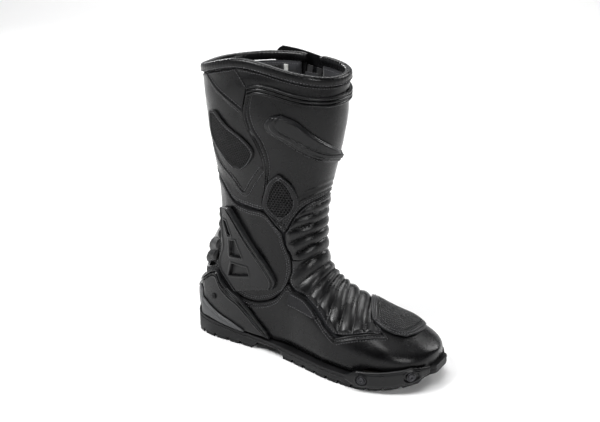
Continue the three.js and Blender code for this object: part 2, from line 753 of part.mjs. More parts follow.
function puck(x, radius, from, to, hole = 0) {
  const z = ((SLIDER.low + SLIDER.high) / 2) * SZ + ground(x * SX) * 0.85;
  const { p, out } = soleSide(x * SX, z, SLIDER.clearance + SLIDER.thickness);
  const turn = new THREE.Quaternion().setFromUnitVectors(new THREE.Vector3(0, 1, 0), out);
  let body = new THREE.CylinderGeometry(radius, radius, to - from, 14);
  if (hole > 0) {
    const sleeve = [[hole, from], [radius, from], [radius, to], [hole, to], [hole, from]];
    body = new THREE.LatheGeometry(sleeve.map(([r, y]) => new THREE.Vector2(r, y - (from + to) / 2)), 14);
  }
  body.applyQuaternion(turn);
  body.translate(...p.addScaledVector(out, (from + to) / 2).toArray());
  return merged(body);
}

function sliderScrews() {
  SLIDER_SCREWS.forEach((x, i) => {
    const end = i === 0 ? 'rear' : 'front';
    const lift = 0.3 - SCREW.recess;
    add(`slider_washer_${end}`, puck(x, SCREW.washer, lift, lift + 1, SCREW.head + SEAM), 'steel');
    const head = toManifold(puck(x, SCREW.head, lift, lift + 1.8));
    add(`slider_screw_${end}`, fromManifold(head.subtract(toManifold(puck(x, SCREW.socket, lift + 0.8, lift + 3)))), 'steel');
  });
}

// ---- Leg: shell panels, overlays, brace, rim and lining -----------------------------------------
const SHIN_EDGE = [[0.28, 92], [0.39, 88], [0.47, 79], [0.57, 72], [0.66, 71], [0.76, 73], [0.86, 77], [0.95, 62], [1.035, 47]];
const SHIN_EDGE_MEDIAL = [[0.28, -54], [0.39, -53], [0.47, -52], [0.57, -50], [0.66, -50], [0.76, -50], [0.86, -50], [0.95, -49], [1.035, -47]];
const SHIN_TOP = [[0.14, 86], [0.12, 74], [0.13, 59], [0.155, 45], [0.18, 28], [0.19, 10], [0.19, -10], [0.18, -28], [0.17, -40], [0.18, -53]];
const SHIN_BOTTOM = [[1.035, 47], [0.93, 37], [0.86, 28], [0.82, 14], [0.81, 0], [0.82, -14], [0.86, -28], [0.93, -37], [1.035, -47]];
const PANEL_GAP = 0.6;
const STRIP_ANGLE = 163;
const CUFF_LINE = [[48, 192], [58, 184], [70, 174], [89, 171], [107, 170]];

function shinPanel() {
  const left = [SHIN_TOP[0], ...SHIN_EDGE];
  const right = [SHIN_TOP.at(-1), ...SHIN_EDGE_MEDIAL];
  const shape = { left, right, top: SHIN_TOP, bottom: SHIN_BOTTOM, rows: 12, columns: 14, layer: BASE };
  add('shin_panel', patch(shape), 'leather');
}

function frontCollarPanel() {
  const angles = [92, 70, 48, 24, 0, -24, -40, -53];
  const top = angles.map((a) => belowRim(a, BINDING_HEIGHT + PANEL_GAP));
  const bottom = [[0.13, 92], ...SHIN_TOP].map(([v, a]) => [v - 0.004, a]);
  add('front_collar_panel', patch({ left: [top[0], bottom[0]], right: [top.at(-1), bottom.at(-1)], top, bottom, rows: 2, columns: 14, layer: BASE }), 'leather');
}

function pipingBand() {
  const shifted = (d) => SHIN_TOP.map(([v, a]) => [v + d, a]);
  const relief = (s) => (Math.round(s * 6) % 2 === 1 ? 0.7 : 0);
  const [top, bottom] = [shifted(-0.012), shifted(0.05)];
  add('shin_piping', patch({ left: [top[0], bottom[0]], right: [top.at(-1), bottom.at(-1)], top, bottom, rows: 6, columns: 14, layer: OVER, relief }), 'leather');
}

function calfLateral() {
  const right = SHIN_EDGE.slice(0, 7).map(([v, a]) => [v, a + PANEL_GAP + 0.4]);
  const start = [0.135, 93.5];
  const top = [STRIP_ANGLE, 154, 145, 135, 125, 116, 108, 100].map((a) => belowRim(a, BINDING_HEIGHT + 2 * PANEL_GAP)).concat([start]);
  const line = CUFF_LINE.map(([x, z]) => side(x, z + 1.5));
  const bottom = [[line[0][0] - 0.02, STRIP_ANGLE], ...line, right.at(-1)];
  add('calf_panel_lateral', patch({
    left: [top[0], bottom[0]], right: [start, ...right], top, bottom, rows: 10, columns: 9, layer: BASE,
  }), 'leather');
}

function rearStrip() {
  const left = [belowRim(STRIP_ANGLE + 1, BINDING_HEIGHT + PANEL_GAP), level(153, STRIP_ANGLE + 1)];
  const right = around(mirrored(left));
  const top = [164, 172, 180, 188, 196].map((a) => belowRim(a, BINDING_HEIGHT + PANEL_GAP));
  add('rear_strip', patch({ left, right, top, rows: 9, columns: 4, layer: BASE }), 'leather');
}

function ankleCuff(which, name) {
  const line = which === LATERAL ? CUFF_LINE : [[48, 190], [58, 176], [72, 158], [88, 147], [107, 146]];
  const tip = which === LATERAL ? [[116, 162], [127, 148.5]] : [[117, 146], [126, 145]];
  const across = (a) => (which === LATERAL ? a : 360 - a);
  const places = around([...line, ...tip].map(([x, z]) => side(x, z - 2, which)));
  const top = [[places[0][0] - 0.02, across(STRIP_ANGLE - 1)], ...places];
  const bottom = around(arc(LEG_ARC, 174, 322, 9, which));
  const front = around(arc(LEG_ARC, 28, -38, 5, which));
  const rear = [[172, 162], [156, 161], [149, 156], [135, 155], [122, 155]].map(([z, a]) => level(z, across(a)));
  const left = [top[0], ...rear, bottom[0]];
  add(name, patch({ left, right: [top.at(-1), ...front], top, bottom, rows: 9, columns: 12, layer: BASE }), 'leather');
}

function shinPlate() {
  const left = [[0.29, 62], [0.335, 67], [0.38, 64], [0.43, 50], [0.49, 37], [0.55, 22], [0.6, 0]];
  const right = [[0.275, 52], [0.31, 40], [0.37, 30], [0.44, 17], [0.49, 6], [0.52, 0], [0.53, -4]];
  add('shin_plate', patch({ left, right, rows: 9, columns: 3, layer: [OVER[0], OVER[1] + 1.4] }), 'armour');
}

function ventPad() {
  const left = [[0.645, 55], [0.7, 65], [0.78, 71], [0.85, 74], [0.9, 66], [0.945, 54]];
  const right = [[0.65, 52], [0.7, 42], [0.76, 36], [0.82, 33], [0.88, 36], [0.945, 49]];
  add('vent_pad', patch({ left, right, rows: 7, columns: 4, layer: [OVER[0], OVER[1] + 0.8] }), 'mesh');
}

function calfMesh() {
  const left = [[0.33, 139], [0.4, 141], [0.5, 141], [0.6, 126], [0.65, 113]];
  const right = [[0.32, 131], [0.39, 116], [0.45, 95], [0.52, 82], [0.6, 90], [0.655, 103]];
  add('calf_mesh', patch({ left, right, rows: 7, columns: 4, layer: OVER }), 'mesh');
}

const BRACE_REAR = [[48, 160], [49.5, 146], [50.5, 133], [52, 116], [47, 101], [47, 90], [57, 79], [69, 67]];
const BRACE_FRONT = [[64, 165], [73, 156], [82, 145], [91, 133], [101, 120], [111, 107], [120, 91], [118, 81]];
const BRACE_SLOTS = [
  [[55.5, 148], [59, 148], [66, 133], [62, 132]],
  [[64, 127], [72, 129], [80, 111], [64, 109]],
  [[66, 100], [86, 100.5], [88, 91], [62, 85]],
];

function ankleGuard(which, name, slots) {
  const place = (list) => around(list.map(([x, z]) => side(x, z, which)));
  const guard = patch({ left: place(BRACE_REAR), right: place(BRACE_FRONT), rows: 10, columns: 4, layer: [OVER[0], HARD[1]] });
  if (!slots) return add(name, guard, 'armour');
  let body = toManifold(guard);
  for (const slot of slots) {
    const outline = slot.map(([x, z]) => [x * SX, z * SZ]).reverse();
    const prism = new wasm.CrossSection([outline], 'Positive').extrude(100 * SY).rotate([90, 0, 0]);
    body = body.subtract(prism);
  }
  return add(name, fromManifold(body), 'armour');
}

// ---- Zip on the medial side ----------------------------------------------------------------------
const ZIP = { low: [98, 152], high: [114.5, 306] };
const ZIP_X = (z) => ZIP.low[0] + ((ZIP.high[0] - ZIP.low[0]) * (z - ZIP.low[1])) / (ZIP.high[1] - ZIP.low[1]);
const TAPE = { width: 8, thickness: 0.9 };
const CHAIN = { half: 2.6, height: 1.8, teeth: 16 };
const SLIDE_REST = 272;

function slotEdge(direction, extra, heights) {
  return heights.map((z) => side(ZIP_X(z) + direction * (ZIP_SLOT / 2 + extra) / SX, z, MEDIAL));
}

function medialFront() {
  const heights = [302, 270, 235, 200, 175, 150];
  const left = [belowRim(-54, BINDING_HEIGHT + PANEL_GAP), ...SHIN_EDGE_MEDIAL.slice(0, 8)].map(([v, a]) => [v, a - PANEL_GAP]);
  left.splice(1, 0, [0.17, -54.5]);
  const right = slotEdge(1, 0, heights);
  right[0] = [belowRim(right[0][1], BINDING_HEIGHT + PANEL_GAP)[0], right[0][1]];
  left[left.length - 1] = side(ZIP_X(150) + 28, 150, MEDIAL);
  add('medial_panel_front', patch({ left, right, rows: 9, columns: 3, layer: BASE }), 'leather');
}

function medialRear() {
  const heights = [302, 270, 235, 200, 175, 151];
  const left = around(slotEdge(-1, 0, heights));
  left[0] = [belowRim(left[0][1], BINDING_HEIGHT + PANEL_GAP)[0], left[0][1]];
  const right = [belowRim(360 - STRIP_ANGLE, BINDING_HEIGHT + PANEL_GAP), [0.5, 360 - STRIP_ANGLE], [0.715, 360 - STRIP_ANGLE]];
  const bottom = around([[86, 151], [74, 161], [60, 178], [49, 191]].map(([x, z]) => side(x, z + 1, MEDIAL)));
  bottom[0] = left.at(-1);
  bottom.push(right.at(-1));
  add('medial_panel_rear', patch({ left, right, bottom, rows: 9, columns: 6, layer: BASE }), 'leather');
}

// Frame of the straight zip: along the chain upwards, out of the boot, and across towards the toe.
function zipFrame() {
  const foot = lifted(side(ZIP.low[0], ZIP.low[1], MEDIAL), BASE[1] - 1.4);
  const head = lifted(side(ZIP.high[0], ZIP.high[1], MEDIAL), BASE[1] - 1.4);
  const along = head.clone().sub(foot);
  const length = along.length();
  along.normalize();
  const out = new THREE.Vector3(0.18, 1, 0);
  out.addScaledVector(along, -out.dot(along)).normalize();
  const across = new THREE.Vector3().crossVectors(out, along);
  if (across.x < 0) across.negate();
  return { foot, length, along, out, across };
}

function zipBar(frame, from, to, left, right, low, high) {
  const { foot, along, out, across } = frame;
  const corner = (a, c, o) => foot.clone().addScaledVector(along, a).addScaledVector(across, c).addScaledVector(out, o);
  const ring = (a) => [corner(a, left, low), corner(a, right, low), corner(a, right, high), corner(a, left, high)];
  return loft([ring(from), ring(to)]);
}

function zip() {
  const frame = zipFrame();
  const { foot, length, along, out, across } = frame;
  const inner = CHAIN.half + SEAM;
  const outer = ZIP_SLOT / 2 - SEAM - 0.5;
  add('zip_tape_front', zipBar(frame, 0, length, inner, outer, 0, TAPE.thickness), 'zip');
  add('zip_tape_rear', zipBar(frame, 0, length, -outer, -inner, 0, TAPE.thickness), 'zip');
  const rings = [];
  const pitch = (length - 12) / CHAIN.teeth;
  for (let i = 0; i < CHAIN.teeth; i += 1) {
    for (const [share, height] of [[0.02, 0.7], [0.2, 1], [0.7, 1], [0.88, 0.7]]) {
      const a = 6 + (i + share) * pitch;
      rings.push([[-CHAIN.half, 0], [CHAIN.half, 0], [CHAIN.half, CHAIN.height * height], [-CHAIN.half, CHAIN.height * height]]
        .map(([c, o]) => foot.clone().addScaledVector(along, a).addScaledVector(across, c).addScaledVector(out, o)));
    }
  }
  add('zip_chain', loft(rings), 'zip');
  add('zip_stop_low', zipBar(frame, 1, 5.6, -CHAIN.half - 1, CHAIN.half + 1, TAPE.thickness + SEAM, CHAIN.height + 1.2), 'slider');
  add('zip_stop_high', zipBar(frame, length - 5.6, length - 1, -CHAIN.half - 1, CHAIN.half + 1, TAPE.thickness + SEAM, CHAIN.height + 1.2), 'slider');
  const rest = (SLIDE_REST * SZ - foot.z) / along.z;
  const deck = CHAIN.height + 0.4;
  let body = toManifold(zipBar(frame, rest - 8, rest + 8, -5, 5, deck, deck + 1.6));
  body = body.add(toManifold(zipBar(frame, rest - 1, rest + 6, -1.3, 1.3, deck + 1, deck + 4.8)));
  body = body.subtract(toManifold(zipBar(frame, rest + 0.8, rest + 4.3, -3, 3, deck + 1.8, deck + 4)));
  add('zip_slider', fromManifold(body), 'slider');
  const pullLow = deck + 2.3;
  let pull = toManifold(zipBar(frame, rest - 25, rest + 3.8, -3.6, 3.6, pullLow, pullLow + 1.2));
  pull = pull.subtract(toManifold(zipBar(frame, rest - 2, rest + 2.4, -1.3 - SEAM, 1.3 + SEAM, pullLow - 2, pullLow + 4)));
  add('zip_pull', fromManifold(pull.subtract(toManifold(zipBar(frame, rest - 22, rest - 12, -2, 2, pullLow - 2, pullLow + 4)))), 'slider');
}

function zipGusset() {
  const heights = [300, 265, 230, 195, 168];
  const left = slotEdge(1, -2, heights);
  const right = slotEdge(-1, -2, heights);
  const depth = INSIDE[0] - 0.6;
  add('zip_gusset', patch({ left, right, rows: 8, columns: 2, layer: [depth - 1.2, depth] }), 'lining');
}

// Hook-and-loop tab across the top of the zip, hinged on its front edge.
const TAB = { front: 143, rear: 66, low: [287, 291], high: [313, 325] };
const TAB_LAYER = [2.2, 4.4];

function tabPatch(from, to, lowShare, highShare, layer, rows, columns) {
  const at = (x, share) => {
    const t = (TAB.front - x) / (TAB.front - TAB.rear);
    const low = TAB.low[0] + (TAB.low[1] - TAB.low[0]) * t;
    const high = TAB.high[0] + (TAB.high[1] - TAB.high[0]) * t;
    return side(x, low + (high - low) * share, MEDIAL);
  };
  const line = (share) => [from, (2 * from + to) / 3, (from + 2 * to) / 3, to].map((x) => at(x, share));
  const [top, bottom] = [line(highShare), line(lowShare)];
  return patch({ left: [top[0], bottom[0]], right: [top.at(-1), bottom.at(-1)], top, bottom, rows, columns, layer });
}

function closureTab() {
  add('closure_tab', tabPatch(TAB.front, TAB.rear, 0, 1, TAB_LAYER, 3, 10), 'leather');
  add('hook_patch', tabPatch(92, 70, 0.12, 0.7, [TAB_LAYER[0] - 1.2, TAB_LAYER[0] - 0.5], 2, 4), 'hook');
  add('loop_patch', tabPatch(96, 68, 0.05, 0.42, [BASE[1] + 0.5, BASE[1] + 1.1], 2, 4), 'hook');
}

function rimBinding() {
  const [start, end] = [-64, 360 - 82];
  const count = 36;
  const angles = Array.from({ length: count + 1 }, (_, i) => start + ((end - start) * i) / count);
  const left = angles.map((a) => belowRim(a, 0));
  const right = angles.map((a) => belowRim(a, BINDING_HEIGHT));
  add('rim_binding', patch({ left, right, rows: 32, columns: 2, layer: [INSIDE[0] - 1.6, 0.6] }), 'leather');
}

function legLinings() {
  const [start, end] = [-60, 360 - 88];
  const angles = Array.from({ length: 37 }, (_, i) => start + ((end - start) * i) / 36);
  const drop = (d) => angles.map((a) => belowRim(a, d));
  const pad = [INSIDE[0] - 1.8, INSIDE[1]];
  const split = BINDING_HEIGHT + COLLAR_DEPTH;
  add('collar_padding', patch({ left: drop(BINDING_HEIGHT + PANEL_GAP), right: drop(split), rows: 28, columns: 2, layer: pad }), 'foam');
  const low = angles.map((a) => level(154, a));
  add('leg_lining', patch({ left: drop(split + PANEL_GAP), right: low, rows: 20, columns: 5, layer: INSIDE.map((d) => d - 0.3) }), 'lining');
}

function labels() {
  const layer = [INSIDE[0] - 2.9, INSIDE[0] - 2.2];
  const panel = (a, b, low, high) => [[belowRim(a, low), belowRim(a, high)], [belowRim(b, low), belowRim(b, high)]];
  const [l1, r1] = panel(-112, -130, 14, 28);
  add('size_label', patch({ left: l1, right: r1, rows: 1, columns: 3, layer }), 'darkLabel');
  const [l2, r2] = panel(-103, -108, 14, 34);
  add('care_tag', patch({ left: l2, right: r2, rows: 1, columns: 1, layer }), 'label');
}

// ---- Soft flex zones that bend when the leg tips over the foot ----------------------------------
function frontFlex() {
  const edge = arc(FOOT_ARC + 0.5, 30, 10, 3, LATERAL);
  const left = [SHIN_BOTTOM[0], ...edge].map(([v, a]) => [v + 0.004, a - 0.8]);
  left[0] = [SHIN_BOTTOM[0][0] + 0.006, SHIN_BOTTOM[0][1] - 1];
  const right = mirrored(left);
  const top = SHIN_BOTTOM.map(([v, a]) => [v + 0.006, a]);
  [top[0], top[top.length - 1]] = [left[0], right[0]];
  const bottom = [left.at(-1), [1.374, 26], [1.379, 0], [1.374, -26], right.at(-1)];
  const relief = (s, t) => (Math.round(s * 8) % 2 === 1 ? BELLOWS_RELIEF * Math.min(1, 6 * t, 6 * (1 - t)) : 0);
  add('front_flex_panel', patch({ left, right, top, bottom, rows: 8, columns: 10, layer: BASE, relief }), 'bellows');
}

function rearFlex() {
  const left = [level(147, 158.5), level(133, 158), level(115, 158), level(99, 158)];
  const right = around(mirrored(left));
  const bottom = [left.at(-1), level(84, 168), level(78.5, 180), level(84, 192), right.at(-1)];
  const relief = (s) => (Math.round(s * 10) % 2 === 1 ? BELLOWS_RELIEF : 0);
  add('rear_flex_panel', patch({ left, right, bottom, rows: 10, columns: 4, layer: BASE, relief }), 'bellows');
}

function ankleSleeve() {
  const rows = [[153, 153], [147, 140], [141, 126], [136, 112], [131, 98], [127, 86]];
  const ring = (front, rear, offset) => Array.from({ length: 20 }, (_, j) => {
    const a = j * 18;
    const t = (1 - Math.cos(a * DEG)) / 2;
    return lifted(level(front + (rear - front) * t, a, 0.5, 1.75), offset);
  });
  const grid = (offset) => rows.map(([front, rear]) => ring(front, rear, offset));
  add('ankle_sleeve', between(grid(DEEP[0] - 0.4), grid(DEEP[1] - 0.4), true), 'lining');
}

outsole();
shank();
insoleLayer('insole_board', 20 * SX, 272 * SX, 0, 2.4, 10.3, 'board');
insoleLayer('footbed', 22 * SX, 266 * SX, 2.9, 7.5, 11.5, 'foam');
quarter(LATERAL, 'quarter_lateral');
quarter(MEDIAL, 'quarter_medial');
toeCap();
instepBellows();
gripStrip(LATERAL, 'grip_strip_lateral');
gripStrip(MEDIAL, 'grip_strip_medial');
toePad();
heelWrap('heel_counter', COUNTER_EDGE, 58, OVER.map((d) => d + 0.8), 32, 3, 'armour');
heelWrap('heel_insert', [[76, 22], [62, 28], [46, 33], [32, 39], [21, 45]], 49, HARD.map((d) => d + 0.8), 24, 2, 'greyArmour');
heelButton();
heelLining();
footLining();
toeSlider();
sliderScrews();
shinPanel();
frontCollarPanel();
pipingBand();
calfLateral();
rearStrip();
ankleCuff(LATERAL, 'ankle_cuff_lateral');
ankleCuff(MEDIAL, 'ankle_cuff_medial');
shinPlate();
ventPad();
calfMesh();
ankleGuard(LATERAL, 'ankle_brace', BRACE_SLOTS);
ankleGuard(MEDIAL, 'ankle_guard_medial', null);
medialFront();
medialRear();
zip();
zipGusset();
closureTab();
rimBinding();
legLinings();
labels();
frontFlex();
rearFlex();
ankleSleeve();

// Origin at the middle of the sole's footprint.
const bounds = new THREE.Box3().setFromObject(group);
const middle = bounds.getCenter(new THREE.Vector3());
for (const mesh of group.children) mesh.geometry.translate(-middle.x, -middle.y, -bounds.min.z);

export default group;
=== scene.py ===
import math

import bpy
import numpy as np
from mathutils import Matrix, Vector


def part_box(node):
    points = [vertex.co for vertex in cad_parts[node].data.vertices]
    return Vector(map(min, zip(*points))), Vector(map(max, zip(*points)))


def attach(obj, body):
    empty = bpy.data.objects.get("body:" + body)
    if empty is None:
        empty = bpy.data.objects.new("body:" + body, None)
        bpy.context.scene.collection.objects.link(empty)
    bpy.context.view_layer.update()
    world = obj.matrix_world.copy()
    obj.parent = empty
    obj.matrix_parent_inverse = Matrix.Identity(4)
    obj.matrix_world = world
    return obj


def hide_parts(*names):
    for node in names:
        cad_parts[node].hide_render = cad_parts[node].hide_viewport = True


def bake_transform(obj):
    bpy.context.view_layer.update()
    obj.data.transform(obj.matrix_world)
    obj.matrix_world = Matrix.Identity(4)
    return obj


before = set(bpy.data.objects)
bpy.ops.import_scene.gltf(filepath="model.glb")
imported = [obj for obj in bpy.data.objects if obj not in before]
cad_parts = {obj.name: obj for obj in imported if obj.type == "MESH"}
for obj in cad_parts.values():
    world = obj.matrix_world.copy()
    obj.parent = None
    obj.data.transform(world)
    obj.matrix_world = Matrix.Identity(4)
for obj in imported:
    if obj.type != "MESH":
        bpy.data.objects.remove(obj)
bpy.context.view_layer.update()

# ---- Stage, light and camera ---------------------------------------------------------------------
# A pale sweep under wide overhead lights, with a soft key from the outer side and weaker fill behind.
# The camera stands off the front outer quarter, 22 degrees above the floor.
MM = 0.001
TARGET = Vector((-0.0199, -0.0003, 0.1605))
CAMERA = {"azimuth": 31, "elevation": 22, "distance": 1.2, "lens": 66.83}


def material(name, roughness=0.6, metallic=0.0, specular=0.5):
    made = bpy.data.materials.new(name)
    made.use_nodes = True
    shader = made.node_tree.nodes["Principled BSDF"]
    shader.inputs["Roughness"].default_value = roughness
    shader.inputs["Metallic"].default_value = metallic
    shader.inputs["Specular IOR Level"].default_value = specular
    return made, made.node_tree, shader


def node(tree, kind, **settings):
    made = tree.nodes.new("ShaderNode" + kind)
    for key, value in settings.items():
        if hasattr(made, key):
            setattr(made, key, value)
        else:
            made.inputs[key.replace("_", " ")].default_value = value
    return made


def ramp(tree, factor, stops):
    made = tree.nodes.new("ShaderNodeValToRGB")
    for element, (position, tone) in zip(made.color_ramp.elements, stops):
        element.position = position
        element.color = (*tone, 1)
    tree.links.new(factor, made.inputs["Fac"])
    return made.outputs["Color"]


floor_data = bpy.data.meshes.new("floor")
floor_data.from_pydata([(-6, -6, 0), (6, -6, 0), (6, 6, 0), (-6, 6, 0)], [], [(0, 1, 2, 3)])
floor = bpy.data.objects.new("floor", floor_data)
bpy.context.scene.collection.objects.link(floor)
floor_mat, floor_tree, floor_shader = material("pale_floor", 0.7, specular=0.3)
floor_noise = node(floor_tree, "TexNoise", Scale=3.0, Detail=4.0)
floor_tone = ramp(floor_tree, floor_noise.outputs["Fac"], [(0, (0.9, 0.9, 0.9)), (1, (0.93, 0.93, 0.93))])
floor_tree.links.new(floor_tone, floor_shader.inputs["Base Color"])
floor_data.materials.append(floor_mat)

bpy.context.scene.view_settings.view_transform = "Standard"
world = bpy.data.worlds.new("studio")
bpy.context.scene.world = world
world.use_nodes = True
world_way = node(world.node_tree, "SeparateXYZ")
world.node_tree.links.new(world.node_tree.nodes.new("ShaderNodeTexCoord").outputs["Generated"],
                          world_way.inputs["Vector"])
world_glow = ramp(world.node_tree, world_way.outputs["Z"],
                  [(0.1, (0.7, 0.71, 0.73)), (0.3, (0.02, 0.02, 0.021))])
world.node_tree.links.new(world_glow, world.node_tree.nodes["Background"].inputs["Color"])


def area_light(name, place, size, power, aim=(0, 0, 0.15)):
    data = bpy.data.lights.new(name, "AREA")
    data.energy = power
    data.size = size
    lamp = bpy.data.objects.new(name, data)
    lamp.location = place
    lamp.rotation_euler = (Vector(aim) - Vector(place)).to_track_quat("-Z", "Y").to_euler()
    bpy.context.scene.collection.objects.link(lamp)


area_light("overhead", (0.0, 0.0, 3.0), 3.2, 30, (0, 0, 0))
area_light("top", (0.1, -0.25, 1.3), 0.35, 4)
area_light("key", (-0.55, -0.65, 1.2), 0.5, 17)
area_light("sweep", (-1.0, 1.9, 1.9), 1.5, 42, (-1.2, 2.0, 0))
area_light("fill", (1.15, -0.6, 0.75), 0.25, 6)
area_light("back", (0.6, 1.2, 0.9), 0.4, 6)
area_light("rear", (-1.2, 0.8, 0.8), 0.3, 5)

view_data = bpy.data.cameras.new("camera")
view_data.sensor_width = 36
view_data.lens = CAMERA["lens"]
camera = bpy.data.objects.new("camera", view_data)
turn, rise = math.radians(CAMERA["azimuth"]), math.radians(CAMERA["elevation"])
back = Vector((math.sin(turn) * math.cos(rise), -math.cos(turn) * math.cos(rise), math.sin(rise)))
camera.location = TARGET + back * CAMERA["distance"]
camera.rotation_euler = (-back).to_track_quat("-Z", "Y").to_euler()
bpy.context.scene.collection.objects.link(camera)
bpy.context.scene.camera = camera

# ---- Outsole -------------------------------------------------------------------------------------
# One rubber moulding: heel block, arch and forefoot with separate lugs, and a raised lip that the
# upper sits in. Cemented and stitched to the upper.
FEATHER = [[0, 24], [60, 17.5], [100, 14.5], [150, 13], [220, 13], [260, 17], [300, 23.5]]
SOLE_PLAN = [
    [3, -17, 17], [15, -31, 30], [40, -37, 36], [80, -37, 35], [120, -39, 36], [160, -47, 40],
    [200, -55, 47], [225, -56, 50], [250, -51, 49], [270, -41, 45], [285, -27, 37], [293, -12, 25],
]
SHANK_START = 60.35
shank_low, shank_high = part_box("shank")
SHIFT = np.array([SHANK_START - shank_low[0] / MM, -(shank_low[1] + shank_high[1]) / 2 / MM, 0.0])


def pchip(rows, column=1):
    """Monotone cubic through table rows, held flat beyond both ends."""
    xs = np.array([r[0] for r in rows], float)
    ys = np.array([r[column] for r in rows], float)
    slope = np.diff(ys) / np.diff(xs)
    both = slope[1:] * slope[:-1]
    total = slope[1:] + slope[:-1]
    mid = np.where(both <= 0, 0, 2 * both / np.where(total == 0, 1, total))
    tangent = np.concatenate([[slope[0]], mid, [slope[-1]]])

    def value(x):
        x = np.clip(x, xs[0], xs[-1])
        i = np.clip(np.searchsorted(xs, x, side="right") - 1, 0, len(xs) - 2)
        h = xs[i + 1] - xs[i]
        t = (x - xs[i]) / h
        return (ys[i] * (2 * t**3 - 3 * t**2 + 1) + tangent[i] * h * (t**3 - 2 * t**2 + t)
                + ys[i + 1] * (3 * t**2 - 2 * t**3) + tangent[i + 1] * h * (t**3 - t**2))
    return value


feather = pchip(FEATHER)
plan_lateral, plan_medial = pchip(SOLE_PLAN, 1), pchip(SOLE_PLAN, 2)


def ease(x, low, high):
    t = np.clip((x - low) / (high - low), 0, 1)
    return t * t * (3 - 2 * t)


def ground(x):
    return 12 * (np.clip(x - 225, 0, None) / 75) ** 1.8


def rubber(name, tint, rough):
    mat, tree, shader = material(name, rough, specular=0.2)
    place = tree.nodes.new("ShaderNodeTexCoord").outputs["Object"]
    dust = node(tree, "TexNoise", Scale=45.0, Detail=6.0, Roughness=0.65)
    grit = node(tree, "TexNoise", Scale=1400.0, Detail=2.0)
    bump = node(tree, "Bump", Strength=0.5, Distance=0.0003)
    spread = node(tree, "MapRange", To_Min=rough - 0.12, To_Max=rough + 0.12)
    for texture in (dust, grit):
        tree.links.new(place, texture.inputs["Vector"])
    dark, pale = [q * 0.7 for q in tint], [q * 1.6 for q in tint]
    tone = ramp(tree, dust.outputs["Fac"], [(0.35, dark), (0.75, pale)])
    tree.links.new(tone, shader.inputs["Base Color"])
    tree.links.new(dust.outputs["Fac"], spread.inputs["Value"])
    tree.links.new(spread.outputs["Result"], shader.inputs["Roughness"])
    tree.links.new(grit.outputs["Fac"], bump.inputs["Height"])
    tree.links.new(bump.outputs["Normal"], shader.inputs["Normal"])
    return mat


def grid_faces(rows, columns, wrap=False):
    spans = columns if wrap else columns - 1
    i, j = np.meshgrid(np.arange(rows - 1), np.arange(spans), indexing="ij")
    k = (j + 1) % columns
    corners = [i * columns + j, (i + 1) * columns + j, (i + 1) * columns + k, i * columns + k]
    return np.stack(corners, -1).reshape(-1, 4)


def loft(rings):
    """Points and faces of a closed loft through equal rings, its ends closed by fans."""
    rings = np.asarray(rings, float)
    count, around = rings.shape[:2]
    points = np.concatenate([rings.reshape(-1, 3), rings[[0, -1]].mean(axis=1)])
    j = np.arange(around)
    k = (j + 1) % around
    hub = np.full(around, count * around)
    last = (count - 1) * around
    fans = np.concatenate([np.stack([k, j, hub], -1), np.stack([last + j, last + k, hub + 1], -1)])
    return points, [grid_faces(count, around, wrap=True), fans]


def volume(points, faces):
    total = 0.0
    for group in faces:
        a = points[group[:, 0]]
        for k in range(1, group.shape[1] - 1):
            total += np.sum(a * np.cross(points[group[:, k]], points[group[:, k + 1]]))
    return total


def joined(parts):
    """Closed parts, each turned to face out, as one mesh: points, faces and a finish number each."""
    points, faces, finishes, start = [], [], [], 0
    for part in parts:
        p, groups = np.asarray(part[0], float), part[1]
        finish = part[2] if len(part) > 2 else 0
        flip = volume(p - p.mean(axis=0), groups) < 0
        for group in groups:
            turned = group[:, ::-1] if flip else group
            faces.append(turned + start)
            finishes.append(np.full(len(group), finish))
        points.append(p)
        start += len(p)
    return np.concatenate(points), faces, finishes


def mesh_piece(name, parts, mats, body=None, stands_for=(), sharp=35, uv=None, values=None):
    """A visible piece from closed parts in source millimetres, riding a body."""
    points, faces, finishes = joined(parts)
    data = bpy.data.meshes.new(name)
    data.vertices.add(len(points))
    data.vertices.foreach_set("co", ((points - SHIFT) * MM).astype(np.float32).ravel())
    loops = np.concatenate([f.ravel() for f in faces])
    sizes = np.concatenate([np.full(len(f), f.shape[1]) for f in faces])
    data.loops.add(len(loops))
    data.loops.foreach_set("vertex_index", loops.astype(np.int32))
    data.polygons.add(len(sizes))
    data.polygons.foreach_set("loop_start", (np.cumsum(sizes) - sizes).astype(np.int32))
    data.polygons.foreach_set("material_index", np.concatenate(finishes).astype(np.int32))
    data.update(calc_edges=True)
    data.shade_smooth()
    data.set_sharp_from_angle(angle=math.radians(sharp))
    if uv is not None:
        full = np.zeros((len(points), 2))
        full[:len(uv)] = uv
        data.uv_layers.new(name="UVMap").data.foreach_set("uv", (full[loops] * MM).astype(np.float32).ravel())
    for key, value in (values or {}).items():
        full = np.zeros(len(points), np.float32)
        full[:len(value)] = value
        data.attributes.new(key, "FLOAT", "POINT").data.foreach_set("value", full)
    for mat in mats if isinstance(mats, (list, tuple)) else [mats]:
        data.materials.append(mat)
    piece = bpy.data.objects.new(name, data)
    bpy.context.scene.collection.objects.link(piece)
    if body:
        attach(piece, body)
    if stands_for:
        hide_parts(*stands_for)
    return piece


sole_rubber = rubber("sole_rubber", (0.008, 0.008, 0.0085), 0.5)
SOLE_MARGIN = 2.2
TREAD = {"depth": 3.4, "arch_rise": 7, "pitch": 16, "lug": 12.5}


